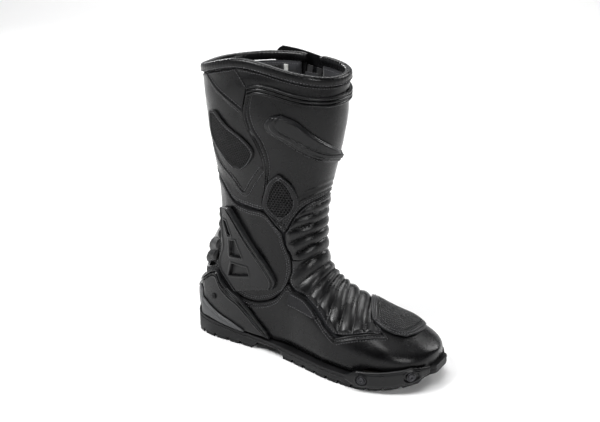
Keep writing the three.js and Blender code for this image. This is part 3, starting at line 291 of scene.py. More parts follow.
def sole_y(x, share):
    """y across the sole: share 0 on the lateral edge, 1 on the medial edge."""
    lateral = plan_lateral(x) - SOLE_MARGIN
    medial = plan_medial(x) + SOLE_MARGIN
    middle = (lateral + medial) / 2
    tip = np.clip(1 - (np.clip(x - 284, 0, None) / 15.2) ** 2.2, 0, 1) ** 0.5
    heel = np.clip(1 - (np.clip(9 - x, 0, None) / 9.2) ** 2.2, 0, 1) ** 0.5
    narrow = 0.45 + 0.55 * np.minimum(tip, heel)
    return middle + (lateral + (medial - lateral) * share - middle) * narrow


def sole_section(x):
    arch = TREAD["arch_rise"] * (ease(x, 90, 94) - ease(x, 122, 134))
    low = ground(x) + TREAD["depth"] + max(arch - 2, 0)
    top = feather(x) + 1.0
    lateral, medial = sole_y(x, 0), sole_y(x, 1)
    wall = [(2.4, low), (0.8, low + 0.9), (0.2, low + 2), (0.1, top - 4.6), (0.9, top - 4.0),
            (0.9, top - 3.4),
            (0, top - 2.8), (0, top - 0.6), (0.5, top), (1.6, top + 0.1), (3.4, top - 0.3)]
    left = [(x, lateral + d, z) for d, z in wall]
    right = [(x, medial - d, z) for d, z in wall][::-1]
    return left + right


def lug(x0, x1, f0, f1, skew=0.0):
    """One tread block with a chamfered foot, between two stations and two shares of the width."""
    rings = []
    for drop, inset in ((1.5, 0), (-2.6, 0), (-3.4, 0.8)):
        ring = []
        for t, f in [(s, f0) for s in (0, 0.5, 1)] + [(s, f1) for s in (1, 0.5, 0)]:
            x = x0 + (x1 - x0) * t + skew * (f - 0.5) * 20 + inset * (1 - 2 * t)
            edge = 0.9 if f in (0, 1) else 0
            y = sole_y(x, f) + (inset + edge) * (1 if f == f0 else -1)
            ring.append((x, y, ground(x) + TREAD["depth"] + drop))
        rings.append(ring)
    return loft(rings)


sole_x = 0.5 + 298 * (1 - np.cos(np.linspace(0, math.pi, 130))) / 2
sole_parts = [loft([sole_section(x) for x in sole_x])]
for row in range(10):
    start = 132 + row * TREAD["pitch"]
    for f0, f1, skew in ((0, 0.3, 0.12), (0.36, 0.64, 0), (0.7, 1, -0.12)):
        sole_parts.append(lug(start, start + TREAD["lug"], f0, f1, skew))
for row in range(5):
    start = 6 + row * 17.2
    for f0, f1 in ((0, 0.42), (0.58, 1)):
        sole_parts.append(lug(start, start + 13, f0, f1))
outsole = mesh_piece("outsole_rubber", sole_parts, sole_rubber, "foot", ("outsole",))

# ---- Shank and insole board ----------------------------------------------------------------------
# A short steel shank lies in the sole under a stiff fibre board that the upper is lasted on to.
steel, steel_tree, steel_shader = material("brushed_steel", 0.35, metallic=1.0)
steel_place = steel_tree.nodes.new("ShaderNodeTexCoord").outputs["Object"]
steel_grain = node(steel_tree, "TexNoise", Scale=600.0, Detail=3.0)
steel_bump = node(steel_tree, "Bump", Strength=0.2, Distance=0.0001)
steel_tree.links.new(steel_place, steel_grain.inputs["Vector"])
steel_tone = ramp(steel_tree, steel_grain.outputs["Fac"],
                  [(0.3, (0.035, 0.035, 0.037)), (0.7, (0.07, 0.07, 0.075))])
steel_tree.links.new(steel_tone, steel_shader.inputs["Base Color"])
steel_tree.links.new(steel_grain.outputs["Fac"], steel_bump.inputs["Height"])
steel_tree.links.new(steel_bump.outputs["Normal"], steel_shader.inputs["Normal"])
board = rubber("fibre_board", (0.035, 0.03, 0.026), 0.85)
for name, finish in (("shank", steel), ("insole_board", board)):
    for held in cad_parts[name].material_slots:
        held.material = finish

# ---- Upper: the last it is pulled over, and its two quarters -------------------------------------
# The quarters wrap heel and waist. They are smooth leather, lasted under the insole board, with
# twin rows of stitching along the top line and the bellows.
SHAFT_SECTIONS = [
    [12, 3, 136, 33], [40, 1, 145, 36], [70, 6, 154, 37], [100, 19, 161, 40], [130, 29, 158, 42],
    [160, 32, 157.5, 43.5], [190, 30, 163, 46], [220, 25, 170, 50], [250, 20.5, 176.5, 54],
    [280, 17.5, 180, 57], [315, 15, 181, 58],
]
FOOT_SECTIONS = [
    [60, 103, 35, 0], [100, 103, 36, 0], [130, 102, 38, -1], [160, 95, 43.5, -2.5],
    [190, 79, 49, -3.5], [220, 67, 51, -3], [250, 57.5, 49, 0], [275, 48, 45, 3],
]
RIM = {"front": 319, "rear": 314, "lateral": 336, "medial": 320}
TOE_START, LAST_LENGTH, HEEL_ROUND = 238, 296, 75
BASE, OVER, DEEP, ARMOUR = (-3.6, -1.6), (-0.9, 0.9), (-7.3, -5.9), (-0.9, 3.4)
shaft_rear, shaft_front, shaft_half = (pchip(SHAFT_SECTIONS, c) for c in (1, 2, 3))
foot_top, foot_half, foot_centre = (pchip(FOOT_SECTIONS, c) for c in (1, 2, 3))


def super_radius(a, b, power):
    return (np.abs(a) ** power + np.abs(b) ** power) ** (1 / power)


def last_field(p):
    x, y, z = p[..., 0], p[..., 1], p[..., 2]
    rear, front, half = shaft_rear(z), shaft_front(z), shaft_half(z)
    depth = (front - rear) / 2
    shaft = (super_radius((x - (front + rear) / 2) / depth, y / half, 2.2) - 1) * np.minimum(depth, half)
    xk = np.clip(x, 60, TOE_START)
    toe = (1 - np.clip((x - TOE_START) / (LAST_LENGTH - TOE_START), 0, 0.99995) ** 2.4) ** (1 / 2.1)
    heel = (1 - np.clip((HEEL_ROUND - x) / HEEL_ROUND, 0, 0.99995) ** 2.5) ** (1 / 2.2)
    base = feather(x)
    width = np.maximum(foot_half(xk) * toe * heel, 1)
    past = np.maximum(x - TOE_START, 0)
    start = foot_top(TOE_START)
    slope = (start - foot_top(TOE_START - 4)) / 4
    tip = base + 12
    top = np.where(past > 0, tip + (start + slope * past - tip) * toe**0.8, foot_top(xk))
    middle = base + 0.32 * (top - base)
    over = z > middle
    reach = np.maximum(np.where(over, top - middle, middle - base + 6), 1)
    across, up = (y - foot_centre(xk) - past * 0.13) / width, (z - middle) / reach
    r = np.where(over, super_radius(across, up, 2.3), super_radius(across, up, 4))
    foot = np.maximum(np.maximum((r - 1) * np.minimum(width, reach), 25 - x), x - LAST_LENGTH)
    h = np.clip(0.5 + 0.5 * (foot - shaft) / 16, 0, 1)
    return foot * (1 - h) + shaft * h - 16 * h * (1 - h)


def spine(v):
    """Centre and front direction of the ray fan: 0-1 down the shaft, 1-2 the ankle, 2-3 the foot."""
    v = np.asarray(v, float)
    a = np.radians(np.clip(v - 1, 0, 1) * 90)
    t = np.clip(v - 2, 0, None)
    tilt = np.radians(ease(t, 0.5, 1) * 95)
    down, bend = v <= 1, v <= 2
    x = np.where(down, 96, np.where(bend, 188 - 92 * np.cos(a), 188 + 86 * t))
    z = np.where(down, 332 - 180 * v, np.where(bend, 152 - 106 * np.sin(a), 46 - 25.5 * t))
    front = np.where(down, 1, np.where(bend, np.cos(a), np.sin(tilt)))
    up = np.where(down, 0, np.where(bend, np.sin(a), np.cos(tilt)))
    zero = np.zeros_like(v)
    return np.stack([x, 3 * t, z], -1), np.stack([front, zero, up], -1)


V0, DV, DA = -0.14, 0.01, 1.5
lattice_v = np.arange(V0, 3.021, DV)
lattice_a = np.arange(0, 360, DA)


def make_lattice():
    """The last's surface and normals on a fine lattice of surface coordinates."""
    v, a = np.meshgrid(lattice_v, lattice_a, indexing="ij")
    centre, front = spine(v)
    a = np.radians(a)[..., None]
    ray = front * np.cos(a) + np.array([0, -1, 0]) * np.sin(a)
    near, far = np.zeros(v.shape), np.full(v.shape, 200.0)
    for _ in range(26):
        middle = (near + far) / 2
        inside = last_field(centre + ray * middle[..., None]) < 0
        near, far = np.where(inside, middle, near), np.where(inside, far, middle)
    p = centre + ray * near[..., None]
    slope = [last_field(p + d) - last_field(p - d) for d in np.eye(3) * 0.6]
    normal = np.stack(slope, -1)
    return p, normal / np.linalg.norm(normal, axis=-1, keepdims=True)


lattice_p, lattice_n = make_lattice()
lattice = np.concatenate([lattice_p, lattice_n], -1)


def onto(uv, lift=0.0):
    """Points lifted off the last and their normals, by cubic interpolation of the lattice."""
    uv = np.asarray(uv, float)
    fv = np.clip((uv[..., 0] - V0) / DV, 1, len(lattice_v) - 2.001)
    fa = (uv[..., 1] % 360) / DA
    i, j = np.floor(fv).astype(int), np.floor(fa).astype(int)
    u, w = fv - i, fa - j

    def weights(t):
        return [(-t + 2 * t**2 - t**3) / 2, (2 - 5 * t**2 + 3 * t**3) / 2, (t + 4 * t**2 - 3 * t**3) / 2,
                (t**3 - t**2) / 2]
    found = 0
    for di, wu in enumerate(weights(u)):
        for dj, ww in enumerate(weights(w)):
            found = found + (wu * ww)[..., None] * lattice[i + di - 1, (j + dj - 1) % len(lattice_a)]
    p, n = found[..., :3], found[..., 3:]
    n = n / np.linalg.norm(n, axis=-1, keepdims=True)
    return p + n * (np.asarray(lift)[..., None] if np.ndim(lift) else lift), n


LATERAL, MEDIAL = 1, -1
seed_v, seed_a = np.meshgrid(np.arange(-0.05, 3, 0.06), [20, 30, 50, 70, 90, 110, 130, 150, 165],
                             indexing="ij")
seed_ok = seed_a <= 165 - 50 * np.clip(seed_v - 1.5, 0, 1)
seed_uv = np.stack([seed_v[seed_ok], seed_a[seed_ok]], -1)
top_v, top_a = np.meshgrid(np.arange(1.93, 3, 0.06), np.arange(-80, 81, 20), indexing="ij")
top_uv = np.stack([top_v.ravel(), top_a.ravel()], -1).astype(float)


def locate(axes, targets, seeds):
    """Surface coordinates of places named by two of their coordinates, by Newton steps."""
    goal = np.asarray(targets, float)
    spread = onto(seeds)[0][:, axes]
    uv = seeds[np.argmin(np.linalg.norm(spread[None] - goal[:, None], axis=-1), axis=1)].astype(float)
    for _ in range(12):
        e = onto(uv)[0][:, axes] - goal
        ev = (onto(uv + [0.002, 0])[0][:, axes] - goal - e) / 0.002
        ea = (onto(uv + [0, 0.5])[0][:, axes] - goal - e) / 0.5
        det = ev[:, 0] * ea[:, 1] - ev[:, 1] * ea[:, 0]
        uv[:, 0] -= np.clip((e[:, 0] * ea[:, 1] - e[:, 1] * ea[:, 0]) / det, -0.15, 0.15)
        uv[:, 1] -= np.clip((ev[:, 0] * e[:, 1] - ev[:, 1] * e[:, 0]) / det, -12, 12)
    return uv


def side(places, which=LATERAL):
    """Places seen from the side (x, z), as surface coordinates."""
    return [tuple(q) for q in locate([0, 2], places, seed_uv * [1, which])]


def above(places):
    """Places seen from above (x, y), as surface coordinates."""
    return [tuple(q) for q in locate([0, 1], places, top_uv)]


def level(z, angle, low=-0.1, high=1.75):
    for _ in range(26):
        mid = (low + high) / 2
        if onto([mid, angle])[0][2] > z:
            low = mid
        else:
            high = mid
    return (low, angle)


def below_rim(angle, drop):
    c, s = math.cos(math.radians(angle)), math.sin(math.radians(angle))
    height = (RIM["front"] * max(c, 0) ** 2 + RIM["rear"] * max(-c, 0) ** 2
              + RIM["lateral"] * max(s, 0) ** 2 + RIM["medial"] * max(-s, 0) ** 2)
    return ((332 - height + drop) / 180, angle)


PIVOT, LEG_ARC, FOOT_ARC = (88, 108), 48, 49.5


def arc(radius, start, end, count, which=LATERAL):
    turns = [math.radians(start + (end - start) * i / (count - 1)) for i in range(count)]
    return side([(PIVOT[0] + radius * math.cos(a), PIVOT[1] + radius * math.sin(a)) for a in turns], which)


def mirrored(points):
    return [(v, -a) for v, a in points]


def around(points):
    return [(v, a + 360 if a < 0 else a) for v, a in points]


def mirror_to(points, which):
    return points if which == LATERAL else mirrored(points)


STRETCH_V = 180


def path(points):
    """Spline through surface coordinates, read by share of its length."""
    p = np.array(points, float) * [STRETCH_V, 1]
    q = np.concatenate([p[:1], p, p[-1:]])
    t = np.linspace(0, 1, 25)[:-1, None]
    runs = []
    for a, b, c, d in zip(q[:-3], q[1:-2], q[2:-1], q[3:]):
        v0, v1 = (c - a) / 2, (d - b) / 2
        runs.append((2 * b - 2 * c + v0 + v1) * t**3 + (-3 * b + 3 * c - 2 * v0 - v1) * t**2 + v0 * t + b)
    dense = np.concatenate([*runs, p[-1:]])
    share = np.concatenate([[0], np.cumsum(np.linalg.norm(np.diff(dense, axis=0), axis=1))])
    share /= share[-1]
    return lambda s: np.stack([np.interp(s, share, dense[:, k]) / (STRETCH_V, 1)[k] for k in (0, 1)], -1)


def coons(left, right, top, bottom, rows, columns):
    lc, rc = path(left), path(right)
    tc, bc = path(top or [left[0], right[0]]), path(bottom or [left[-1], right[-1]])
    s, t = np.linspace(0, 1, rows), np.linspace(0, 1, columns)
    S, T = s[:, None, None], t[None, :, None]
    return ((1 - T) * lc(s)[:, None] + T * rc(s)[:, None] + (1 - S) * tc(t)[None] + S * bc(t)[None]
            - (1 - S) * ((1 - T) * lc(0.0) + T * rc(0.0)) - S * ((1 - T) * lc(1.0) + T * rc(1.0)))


def spread(rows, axis):
    """Distance run along one direction of a grid of points."""
    step = np.linalg.norm(np.diff(rows, axis=axis), axis=-1)
    return np.concatenate([np.zeros_like(np.take(step, [0], axis)), np.cumsum(step, axis=axis)], axis=axis)


def cut(left, right, top=None, bottom=None, pitch=1.5):
    """A panel's grid on the last, with each point's distance from the four edges."""
    rough = onto(coons(left, right, top, bottom, 15, 15))[0]
    rows = int(spread(rough, 0)[-1].max() / pitch) + 3
    columns = int(spread(rough, 1)[:, -1].max() / pitch) + 3
    uv = coons(left, right, top, bottom, rows, columns)
    p, n = onto(uv)
    across, down = spread(p, 1), spread(p, 0)
    g = {"uv": uv, "p": p, "n": n, "left": across, "right": across[:, -1:] - across,
         "top": down, "bottom": down[-1:] - down}
    g["s"] = np.repeat(np.linspace(0, 1, rows)[:, None], columns, axis=1)
    g["edge"] = np.minimum(np.minimum(g["left"], g["right"]), np.minimum(g["top"], g["bottom"]))
    return g


def shell(outer, inner, wrap=False):
    """Closed skin between two grids of points."""
    rows, columns = outer.shape[:2]
    count = rows * columns
    face = grid_faces(rows, columns, wrap)
    j = np.arange(columns if wrap else columns - 1)
    k = (j + 1) % columns
    last = (rows - 1) * columns
    rims = [np.stack([j, k, k + count, j + count], -1),
            np.stack([last + k, last + j, last + j + count, last + k + count], -1)]
    if not wrap:
        i = np.arange(rows - 1) * columns
        rims.append(np.stack([i + columns, i, i + count, i + columns + count], -1))
        right = i + columns - 1
        rims.append(np.stack([right, right + columns, right + columns + count, right + count], -1))
    faces = np.concatenate([face, face[:, ::-1] + count, *rims])
    return np.concatenate([outer.reshape(-1, 3), inner.reshape(-1, 3)]), [faces]


def rolled(edge, radius):
    """How far a skived edge drops below the panel's face."""
    t = np.clip(1 - edge / radius, 0, 1)
    return radius * (1 - np.sqrt(1 - np.minimum(t, 0.995) ** 2))


def drape(p, amount, size, seed):
    """Soft unevenness of worked leather: a few slow waves in fixed directions."""
    draw = np.random.default_rng(seed)
    total = 0
    for k in range(6):
        direction = draw.normal(size=3)
        direction /= np.linalg.norm(direction)
        total = total + np.sin(p @ direction * 2 * math.pi / (size * (0.6 + 0.25 * k)) + draw.uniform(0, 6.3))
    return amount * total / 6


def ridge(distance, at, width, height):
    return height * np.clip(1 - ((distance - at) / width) ** 2, 0, None) ** 0.75


def inset(g, edge, distance, trim=2.0):
    """Line on a panel's finished face at a set distance inside one edge."""
    away, face, n = g[edge], g["face"], g["n"]
    if edge in ("left", "right"):
        order = slice(None) if edge == "left" else slice(None, None, -1)
        lines = [[np.interp(distance, away[i, order], src[i, order, k]) for k in range(3)]
                 for i in range(len(face)) for src in (face, n)]
    else:
        order = slice(None) if edge == "top" else slice(None, None, -1)
        lines = [[np.interp(distance, away[order, j], src[order, j, k]) for k in range(3)]
                 for j in range(face.shape[1]) for src in (face, n)]
    lines = np.array(lines).reshape(-1, 2, 3)
    return trimmed(lines[:, 0], lines[:, 1], trim)


def trimmed(p, n, trim):
    run = spread(p[None], 1)[0]
    keep = (run >= trim) & (run <= run[-1] - trim)
    return p[keep], n[keep]


THREAD = {"pitch": 2.9, "length": 2.2, "radius": 0.42}


def stitches(line, pitch=THREAD["pitch"]):
    """A row of sewn stitches along a line: short rounded threads that dive in at both ends."""
    p, n = line
    if len(p) < 3:
        return []
    radius = THREAD["radius"]
    run = spread(p[None], 1)[0]
    count = max(int(run[-1] / pitch), 1)
    at = (np.arange(count) + 0.5) * run[-1] / count
    reach = np.array([-1, -0.72, 0, 0.72, 1]) * pitch * THREAD["length"] / THREAD["pitch"] / 2
    sizes = np.array([0.55, 1, 1.05, 1, 0.55]) * radius
    rise = np.array([-0.4, 0.05, 0.16, 0.05, -0.4]) * radius / 0.36
    s = at[:, None] + reach[None]
    centre = np.stack([np.interp(s, run, p[:, k]) for k in range(3)], -1)
    up = np.stack([np.interp(s, run, n[:, k]) for k in range(3)], -1)
    up /= np.linalg.norm(up, axis=-1, keepdims=True)
    ahead = np.gradient(centre, axis=1)
    ahead /= np.linalg.norm(ahead, axis=-1, keepdims=True) + 1e-9
    cross = np.cross(ahead, up)
    turn = np.radians(np.arange(6) * 60)
    high = (sizes[:, None] * np.sin(turn))[None, :, :, None]
    wide = (sizes[:, None] * np.cos(turn))[None, :, :, None]
    ring = centre[:, :, None] + up[:, :, None] * (rise[None, :, None, None] + high) + cross[:, :, None] * wide
    walls = grid_faces(5, 6, wrap=True)
    caps = np.array([[3, 2, 1, 0], [5, 4, 3, 0], [24, 25, 26, 27], [24, 27, 28, 29]])
    one = np.concatenate([walls, caps])
    faces = (one[None] + (np.arange(count) * 30)[:, None, None]).reshape(-1, 4)
    return [(ring.reshape(-1, 3), [faces], 1)]


def hide(name, tint, rough, grain=1.1, relief=0.3, wear=2.2, specular=0.5):
    """Grained leather or moulded plastic: fine cells, uneven dye, and edges rubbed a little paler."""
    mat, tree, shader = material(name, rough, specular=specular)
    links = tree.links
    place = tree.nodes.new("ShaderNodeTexCoord").outputs["Object"]
    tone = node(tree, "TexNoise", Scale=55.0, Detail=6.0, Roughness=0.6)
    cells = node(tree, "TexVoronoi", feature="DISTANCE_TO_EDGE", Scale=1000.0 / grain)
    fine = node(tree, "TexNoise", Scale=3200.0, Detail=3.0)
    scuff = node(tree, "TexNoise", Scale=260.0, Detail=5.0, Roughness=0.7)
    for texture in (tone, cells, fine, scuff):
        links.new(place, texture.inputs["Vector"])
    dye = ramp(tree, tone.outputs["Fac"], [(0.3, [q * 0.65 for q in tint]), (0.72, [q * 1.45 for q in tint])])
    rim = node(tree, "Attribute", attribute_name="rim")
    rubbed = node(tree, "Math", operation="MULTIPLY")
    links.new(rim.outputs["Fac"], rubbed.inputs[0])
    links.new(scuff.outputs["Fac"], rubbed.inputs[1])
    worn = node(tree, "Mix", data_type="RGBA")
    links.new(rubbed.outputs["Value"], worn.inputs["Factor"])
    links.new(dye, worn.inputs["A"])
    worn.inputs["B"].default_value = (*[q * wear + 0.008 for q in tint], 1)
    links.new(worn.outputs["Result"], shader.inputs["Base Color"])
    spread_rough = node(tree, "MapRange", From_Min=0.25, From_Max=0.75, To_Min=rough - 0.09,
                        To_Max=rough + 0.1)
    links.new(tone.outputs["Fac"], spread_rough.inputs["Value"])
    links.new(spread_rough.outputs["Result"], shader.inputs["Roughness"])
    plateau = node(tree, "MapRange", From_Min=0.0, From_Max=0.22)
    links.new(cells.outputs["Distance"], plateau.inputs["Value"])
    pores = node(tree, "Bump", Strength=relief, Distance=0.00022)
    links.new(plateau.outputs["Result"], pores.inputs["Height"])
    skin = node(tree, "Bump", Strength=relief * 0.6, Distance=0.00012)
    links.new(fine.outputs["Fac"], skin.inputs["Height"])
    links.new(pores.outputs["Normal"], skin.inputs["Normal"])
    links.new(skin.outputs["Normal"], shader.inputs["Normal"])
    return mat


thread = hide("black_thread", (0.04, 0.04, 0.043), 0.42, grain=0.5, relief=0.5)
smooth_leather = hide("smooth_leather", (0.0034, 0.0034, 0.0037), 0.27, grain=1.3, relief=0.14, specular=0.23)


def panel(name, node_name, shape, layer, mats, body, pitch=1.5, relief=None, roll=0.9, sew=(), sharp=35,
          more=(), hole_shade=None, hem=None):
    """A sewn panel: thick leather cut to shape on the last, with its relief, rolled edge and stitching."""
    g = cut(pitch=pitch, **shape)
    if hem:
        g["edge"] = np.min([g[edge] for edge in hem], axis=0)
    height = layer[1] - rolled(g["edge"], roll)
    if relief is not None:
        height = height + relief(g)
    g["face"] = g["p"] + g["n"] * height[..., None]
    inner = g["p"] + g["n"] * layer[0]
    parts = [shell(g["face"], inner)]
    for edge, distances in sew:
        for distance in distances:
            parts += stitches(inset(g, edge, distance))
    for make in more:
        parts += make(g)
    uv = np.stack([g["left"], g["top"]], -1).reshape(-1, 2)
    rim = np.exp(-g["edge"] / 1.1).ravel()
    values = {"rim": np.concatenate([rim, rim])}
    # Optional hole mask, kept as an attribute that the dotted fabrics darken as painted shade.
    if hole_shade is not None:
        hole_shade_values = hole_shade(g).ravel()
        values["hole_shade"] = np.concatenate([hole_shade_values, hole_shade_values * 0])
    piece = mesh_piece(name, parts, mats, body, (node_name,) if node_name else (), sharp,
                       np.concatenate([uv, uv]), values)
    return piece, g


SEAM_X, REST, REST_OVER_LIP = 199, 0.4, 4
QUARTER_FRONT = [[140, 82], [153, 78.5], [166, 72], [178, 64], [187, 56.5]]


def feather_path(xs, which=LATERAL, rest=REST):
    return side([(x, float(feather(x)) + rest) for x in xs], which)


def heel_feather(angle, rest=REST):
    return level(float(feather(8)) + rest, angle, 1.1, 1.75)


def both(places, which):
    return mirror_to(side(places), which)


def quarter_shape(which):
    rear = 180 - 0.35 * which
    left = [level(77, rear), level(80, 180 - 14 * which), level(90, 180 - 26 * which),
            *around(arc(FOOT_ARC, 192, 336, 7, which)),
            *around(both([*QUARTER_FRONT, [SEAM_X + 0.2, 49.4]], which))]
    right = [heel_feather(rear), heel_feather(180 - 12 * which),
             *around(feather_path([14, 30, 55, 85, 115, 145, 172], which)),
             *around(mirror_to(feather_path([SEAM_X + 0.2]), which))]
    return {"left": left, "right": right}


def vamp_relief(g):
    """Quarters and toe share one face: twin cords along the top line and a little slackness."""
    cords = ridge(g["left"], 1.5, 1.5, 0.9) + ridge(g["left"], 5.6, 1.6, 0.6)
    return cords + drape(g["p"], 0.45, 34, 5) * ease(g["edge"], 4, 14)


for which, which_name in ((LATERAL, "lateral"), (MEDIAL, "medial")):
    panel("quarter_" + which_name + "_leather", "quarter_" + which_name, quarter_shape(which), BASE,
          [smooth_leather, thread], "foot", 1.3, vamp_relief, 0.8,
          [("left", (3.6, 7.6))], hem=("left", "right", "top"))

# ---- Toe cap -------------------------------------------------------------------------------------
# One moulded smooth-leather cap closes the toe. It butts on the quarters and bellows along a seam
# sewn with two rows.
def toe_feather(angle):
    low, high = 2.6, 3.0
    for _ in range(24):
        mid = (low + high) / 2
        p = onto([mid, angle])[0]
        if p[2] > feather(p[0]) + REST:
            low = mid
        else:
            high = mid
    return (low, angle)


def toe_seam(shift):
    outer = [(v + shift, a) for v, a in side([(SEAM_X, 49), (213, 54.5), (230, 57), (244, 56.5)])]
    crest = above([(222, 0)])[0][0]
    middle = [(crest + 0.1 + shift, 34), (crest + shift, 0)]
    return [*outer, *middle, *mirrored(middle[:1]), *mirrored(outer[::-1])]


toe_low = feather_path([SEAM_X, 215, 230, 243])
toe_front = [toe_feather(a) for a in (88, 66, 40, 0)]
toe_edge = [*toe_low, *toe_front, *mirrored(toe_front[:3][::-1]), *mirrored(toe_low[::-1])]
panel("toe_cap_leather", "toe_cap", {"left": toe_seam(0.006), "right": toe_edge}, BASE,
      [smooth_leather, thread],
      "foot", 1.3, vamp_relief, 0.8, [("left", (3.6, 7.6))], hem=("left", "right"))

# ---- Instep bellows ------------------------------------------------------------------------------
# Foam-backed leather pressed into ribs across the instep, so that the foot can bend. The ribs swell
# between narrow valleys and flatten towards the quarters.
RIBS = {"fan": (240, 180), "first": 195.5, "pitch": 7.0, "slant": 0.2, "rear": 5, "height": 3.0}


def bellows_side(which):
    return [*arc(FOOT_ARC, 8, -18, 3, which),
            *both([*[[x, z + 3.5] for x, z in QUARTER_FRONT], [SEAM_X - 1, 53.4]], which)]


def swell(share):
    """Cross-section of padded ribs: full rounds that meet in sharp valleys."""
    return np.abs(np.sin(np.pi * share)) ** 0.62


def rib_phase(g):
    """Ribs fan out from a point ahead of the shin; those nearest the toe slant back across the foot."""
    x, y, z = np.moveaxis(g["p"], -1, 0)
    turn = np.degrees(np.arctan2(z - RIBS["fan"][1], x - RIBS["fan"][0])) % 360
    slant = RIBS["slant"] * ease(turn, 222, 242) * (y + 40)
    return (turn + slant - RIBS["first"]) / RIBS["pitch"]


def instep_relief(g):
    fade = ease(np.minimum(g["left"], g["right"]), 1.0, 9) * ease(g["bottom"], 0.5, 6)
    folds = drape(g["p"], 0.4, 22, 11)
    return (RIBS["height"] * swell(rib_phase(g)) + folds - 0.6) * fade


bellows_leather = hide("bellows_leather", (0.0036, 0.0036, 0.0039), 0.29, grain=1.0, relief=0.16,
                       specular=0.32)
bellows_left, bellows_right = bellows_side(LATERAL), bellows_side(MEDIAL)
bellows_bottom = toe_seam(-0.006)
bellows_bottom[0], bellows_bottom[-1] = bellows_left[-1], bellows_right[-1]
bellows_top = [bellows_left[0], (1.38, 26), (1.385, 0), (1.38, -26), bellows_right[0]]
instep, _ = panel("instep_bellows_padding", "instep_bellows",
                  {"left": bellows_left, "right": bellows_right, "top": bellows_top,
                   "bottom": bellows_bottom},
                  BASE, [bellows_leather, thread], "foot", 0.9, instep_relief, 0.7,
                  [("left", (1.8,)), ("right", (1.8,)), ("bottom", (1.8,))], 60,
                  hem=("left", "right", "bottom"))

# ---- Grip strips ---------------------------------------------------------------------------------
# Narrow strips of dotted abrasion fabric let into the waist beside the bellows, edge-stitched.
def dotted(name, tint, rough):
    """Coarse woven abrasion fabric with a bumped cell weave; holes that a panel marks are darkened as painted
    shade.
    """
    mat, tree, shader = material(name, rough, specular=0.2)
    links = tree.links
    place = tree.nodes.new("ShaderNodeTexCoord").outputs["Object"]
    cells = node(tree, "TexVoronoi", Scale=1700.0)
    tone = node(tree, "TexNoise", Scale=120.0, Detail=5.0)
    hole_shade = node(tree, "Attribute", attribute_name="hole_shade")
    for texture in (cells, tone):
        links.new(place, texture.inputs["Vector"])
    dye = ramp(tree, tone.outputs["Fac"], [(0.3, [q * 0.7 for q in tint]), (0.75, [q * 1.5 for q in tint])])
    sunk = node(tree, "Mix", data_type="RGBA")
    links.new(hole_shade.outputs["Fac"], sunk.inputs["Factor"])
    links.new(dye, sunk.inputs["A"])
    # Painted shade: inside the marked holes the dye is mixed towards this near black, standing in for the
    # shade there.
    sunk.inputs["B"].default_value = (0.0015, 0.0015, 0.0016, 1)
    links.new(sunk.outputs["Result"], shader.inputs["Base Color"])
    bump = node(tree, "Bump", Strength=0.6, Distance=0.0002)
    links.new(cells.outputs["Distance"], bump.inputs["Height"])
    links.new(bump.outputs["Normal"], shader.inputs["Normal"])
    return mat


abrasion_cloth = dotted("abrasion_cloth", (0.012, 0.012, 0.013), 0.66)


def flat(g):
    """Millimetres across and up a panel, projected on a plane square to its mean normal."""
    flat_p = g["p"].reshape(-1, 3)
    out = g["n"].reshape(-1, 3).mean(axis=0)
    across = np.cross([0, 0, 1.0], out)
    across /= np.linalg.norm(across)
    middle = g["p"] - flat_p.mean(axis=0)
    return middle @ across, middle @ np.cross(out / np.linalg.norm(out), across)


def dots(g, pitch, size, softness=0.3):
    """Staggered round spots over a panel, 1 in each spot's middle."""
    x, y = flat(g)
    x, y = x / pitch, y / (pitch * 0.866)
    row = np.round(y)
    dx = x - row % 2 * 0.5
    dx = (dx - np.round(dx)) * pitch
    dy = (y - row) * pitch * 0.866
    r = np.hypot(dx, dy)
    return ease(r, size / 2 + softness, size / 2 - softness)


def strip_relief(g):
    return 0.35 * dots(g, 2.4, 1.6) * ease(g["edge"], 2.2, 3.0) + ridge(g["edge"], 1.2, 1.3, 0.4)


for which, which_name in ((LATERAL, "lateral"), (MEDIAL, "medial")):
    strip = {"left": side([(136.5, 80.5), (153, 76.5), (166, 70), (174, 64)], which),
             "right": side([(134, 66), (147, 64.5), (160, 63), (171, 61.5)], which)}
    panel("grip_strip_" + which_name + "_cloth", "grip_strip_" + which_name, strip, OVER,
          [abrasion_cloth, thread],
          "foot", 0.6, strip_relief, 0.8, [("left", (1.3,)), ("right", (1.3,))], 60)

# ---- Shift pad -----------------------------------------------------------------------------------
# A moulded pad over the toes that the gear lever rubs on: a raised diamond field in stepped borders,
# sewn round with several rows.
moulded = hide("moulded_plastic", (0.0045, 0.0046, 0.005), 0.3, grain=0.7, relief=0.12, wear=3.0,
               specular=0.28)
PAD = {"left": above([(227, -17), (241, -21), (254, -19), (265, -12)]),
       "right": above([(200, 33), (222, 42), (246, 41), (267, 32)]),
       "top": above([(227, -17), (220, -6), (211, 11), (200, 33)]),
       "bottom": above([(265, -12), (270, 3), (271, 18), (267, 32)])}


def diamonds(g, pitch):
    across, up = flat(g)
    u, w = (across + up) / pitch, (across - up) / pitch
    return np.minimum(np.abs(np.sin(np.pi * u)), np.abs(np.sin(np.pi * w)))


def pad_relief(g):
    field = ease(g["edge"], 8.2, 9.2)
    steps = (0.7 * ease(g["edge"], 2.5, 3.0) + 0.7 * ease(g["edge"], 5.4, 5.9)
             - 1.1 * ease(g["edge"], 7.6, 8.2))
    return steps - 0.6 + field * 1.1 * np.clip(diamonds(g, 3.6) * 1.7, 0, 1)


panel("shift_pad_moulding", "shift_pad", PAD, (-0.2, 2.1), [moulded, thread], "foot", 0.5,
      pad_relief, 0.7,
      [(edge, (1.4, 4.2)) for edge in ("left", "right", "top", "bottom")], 50)

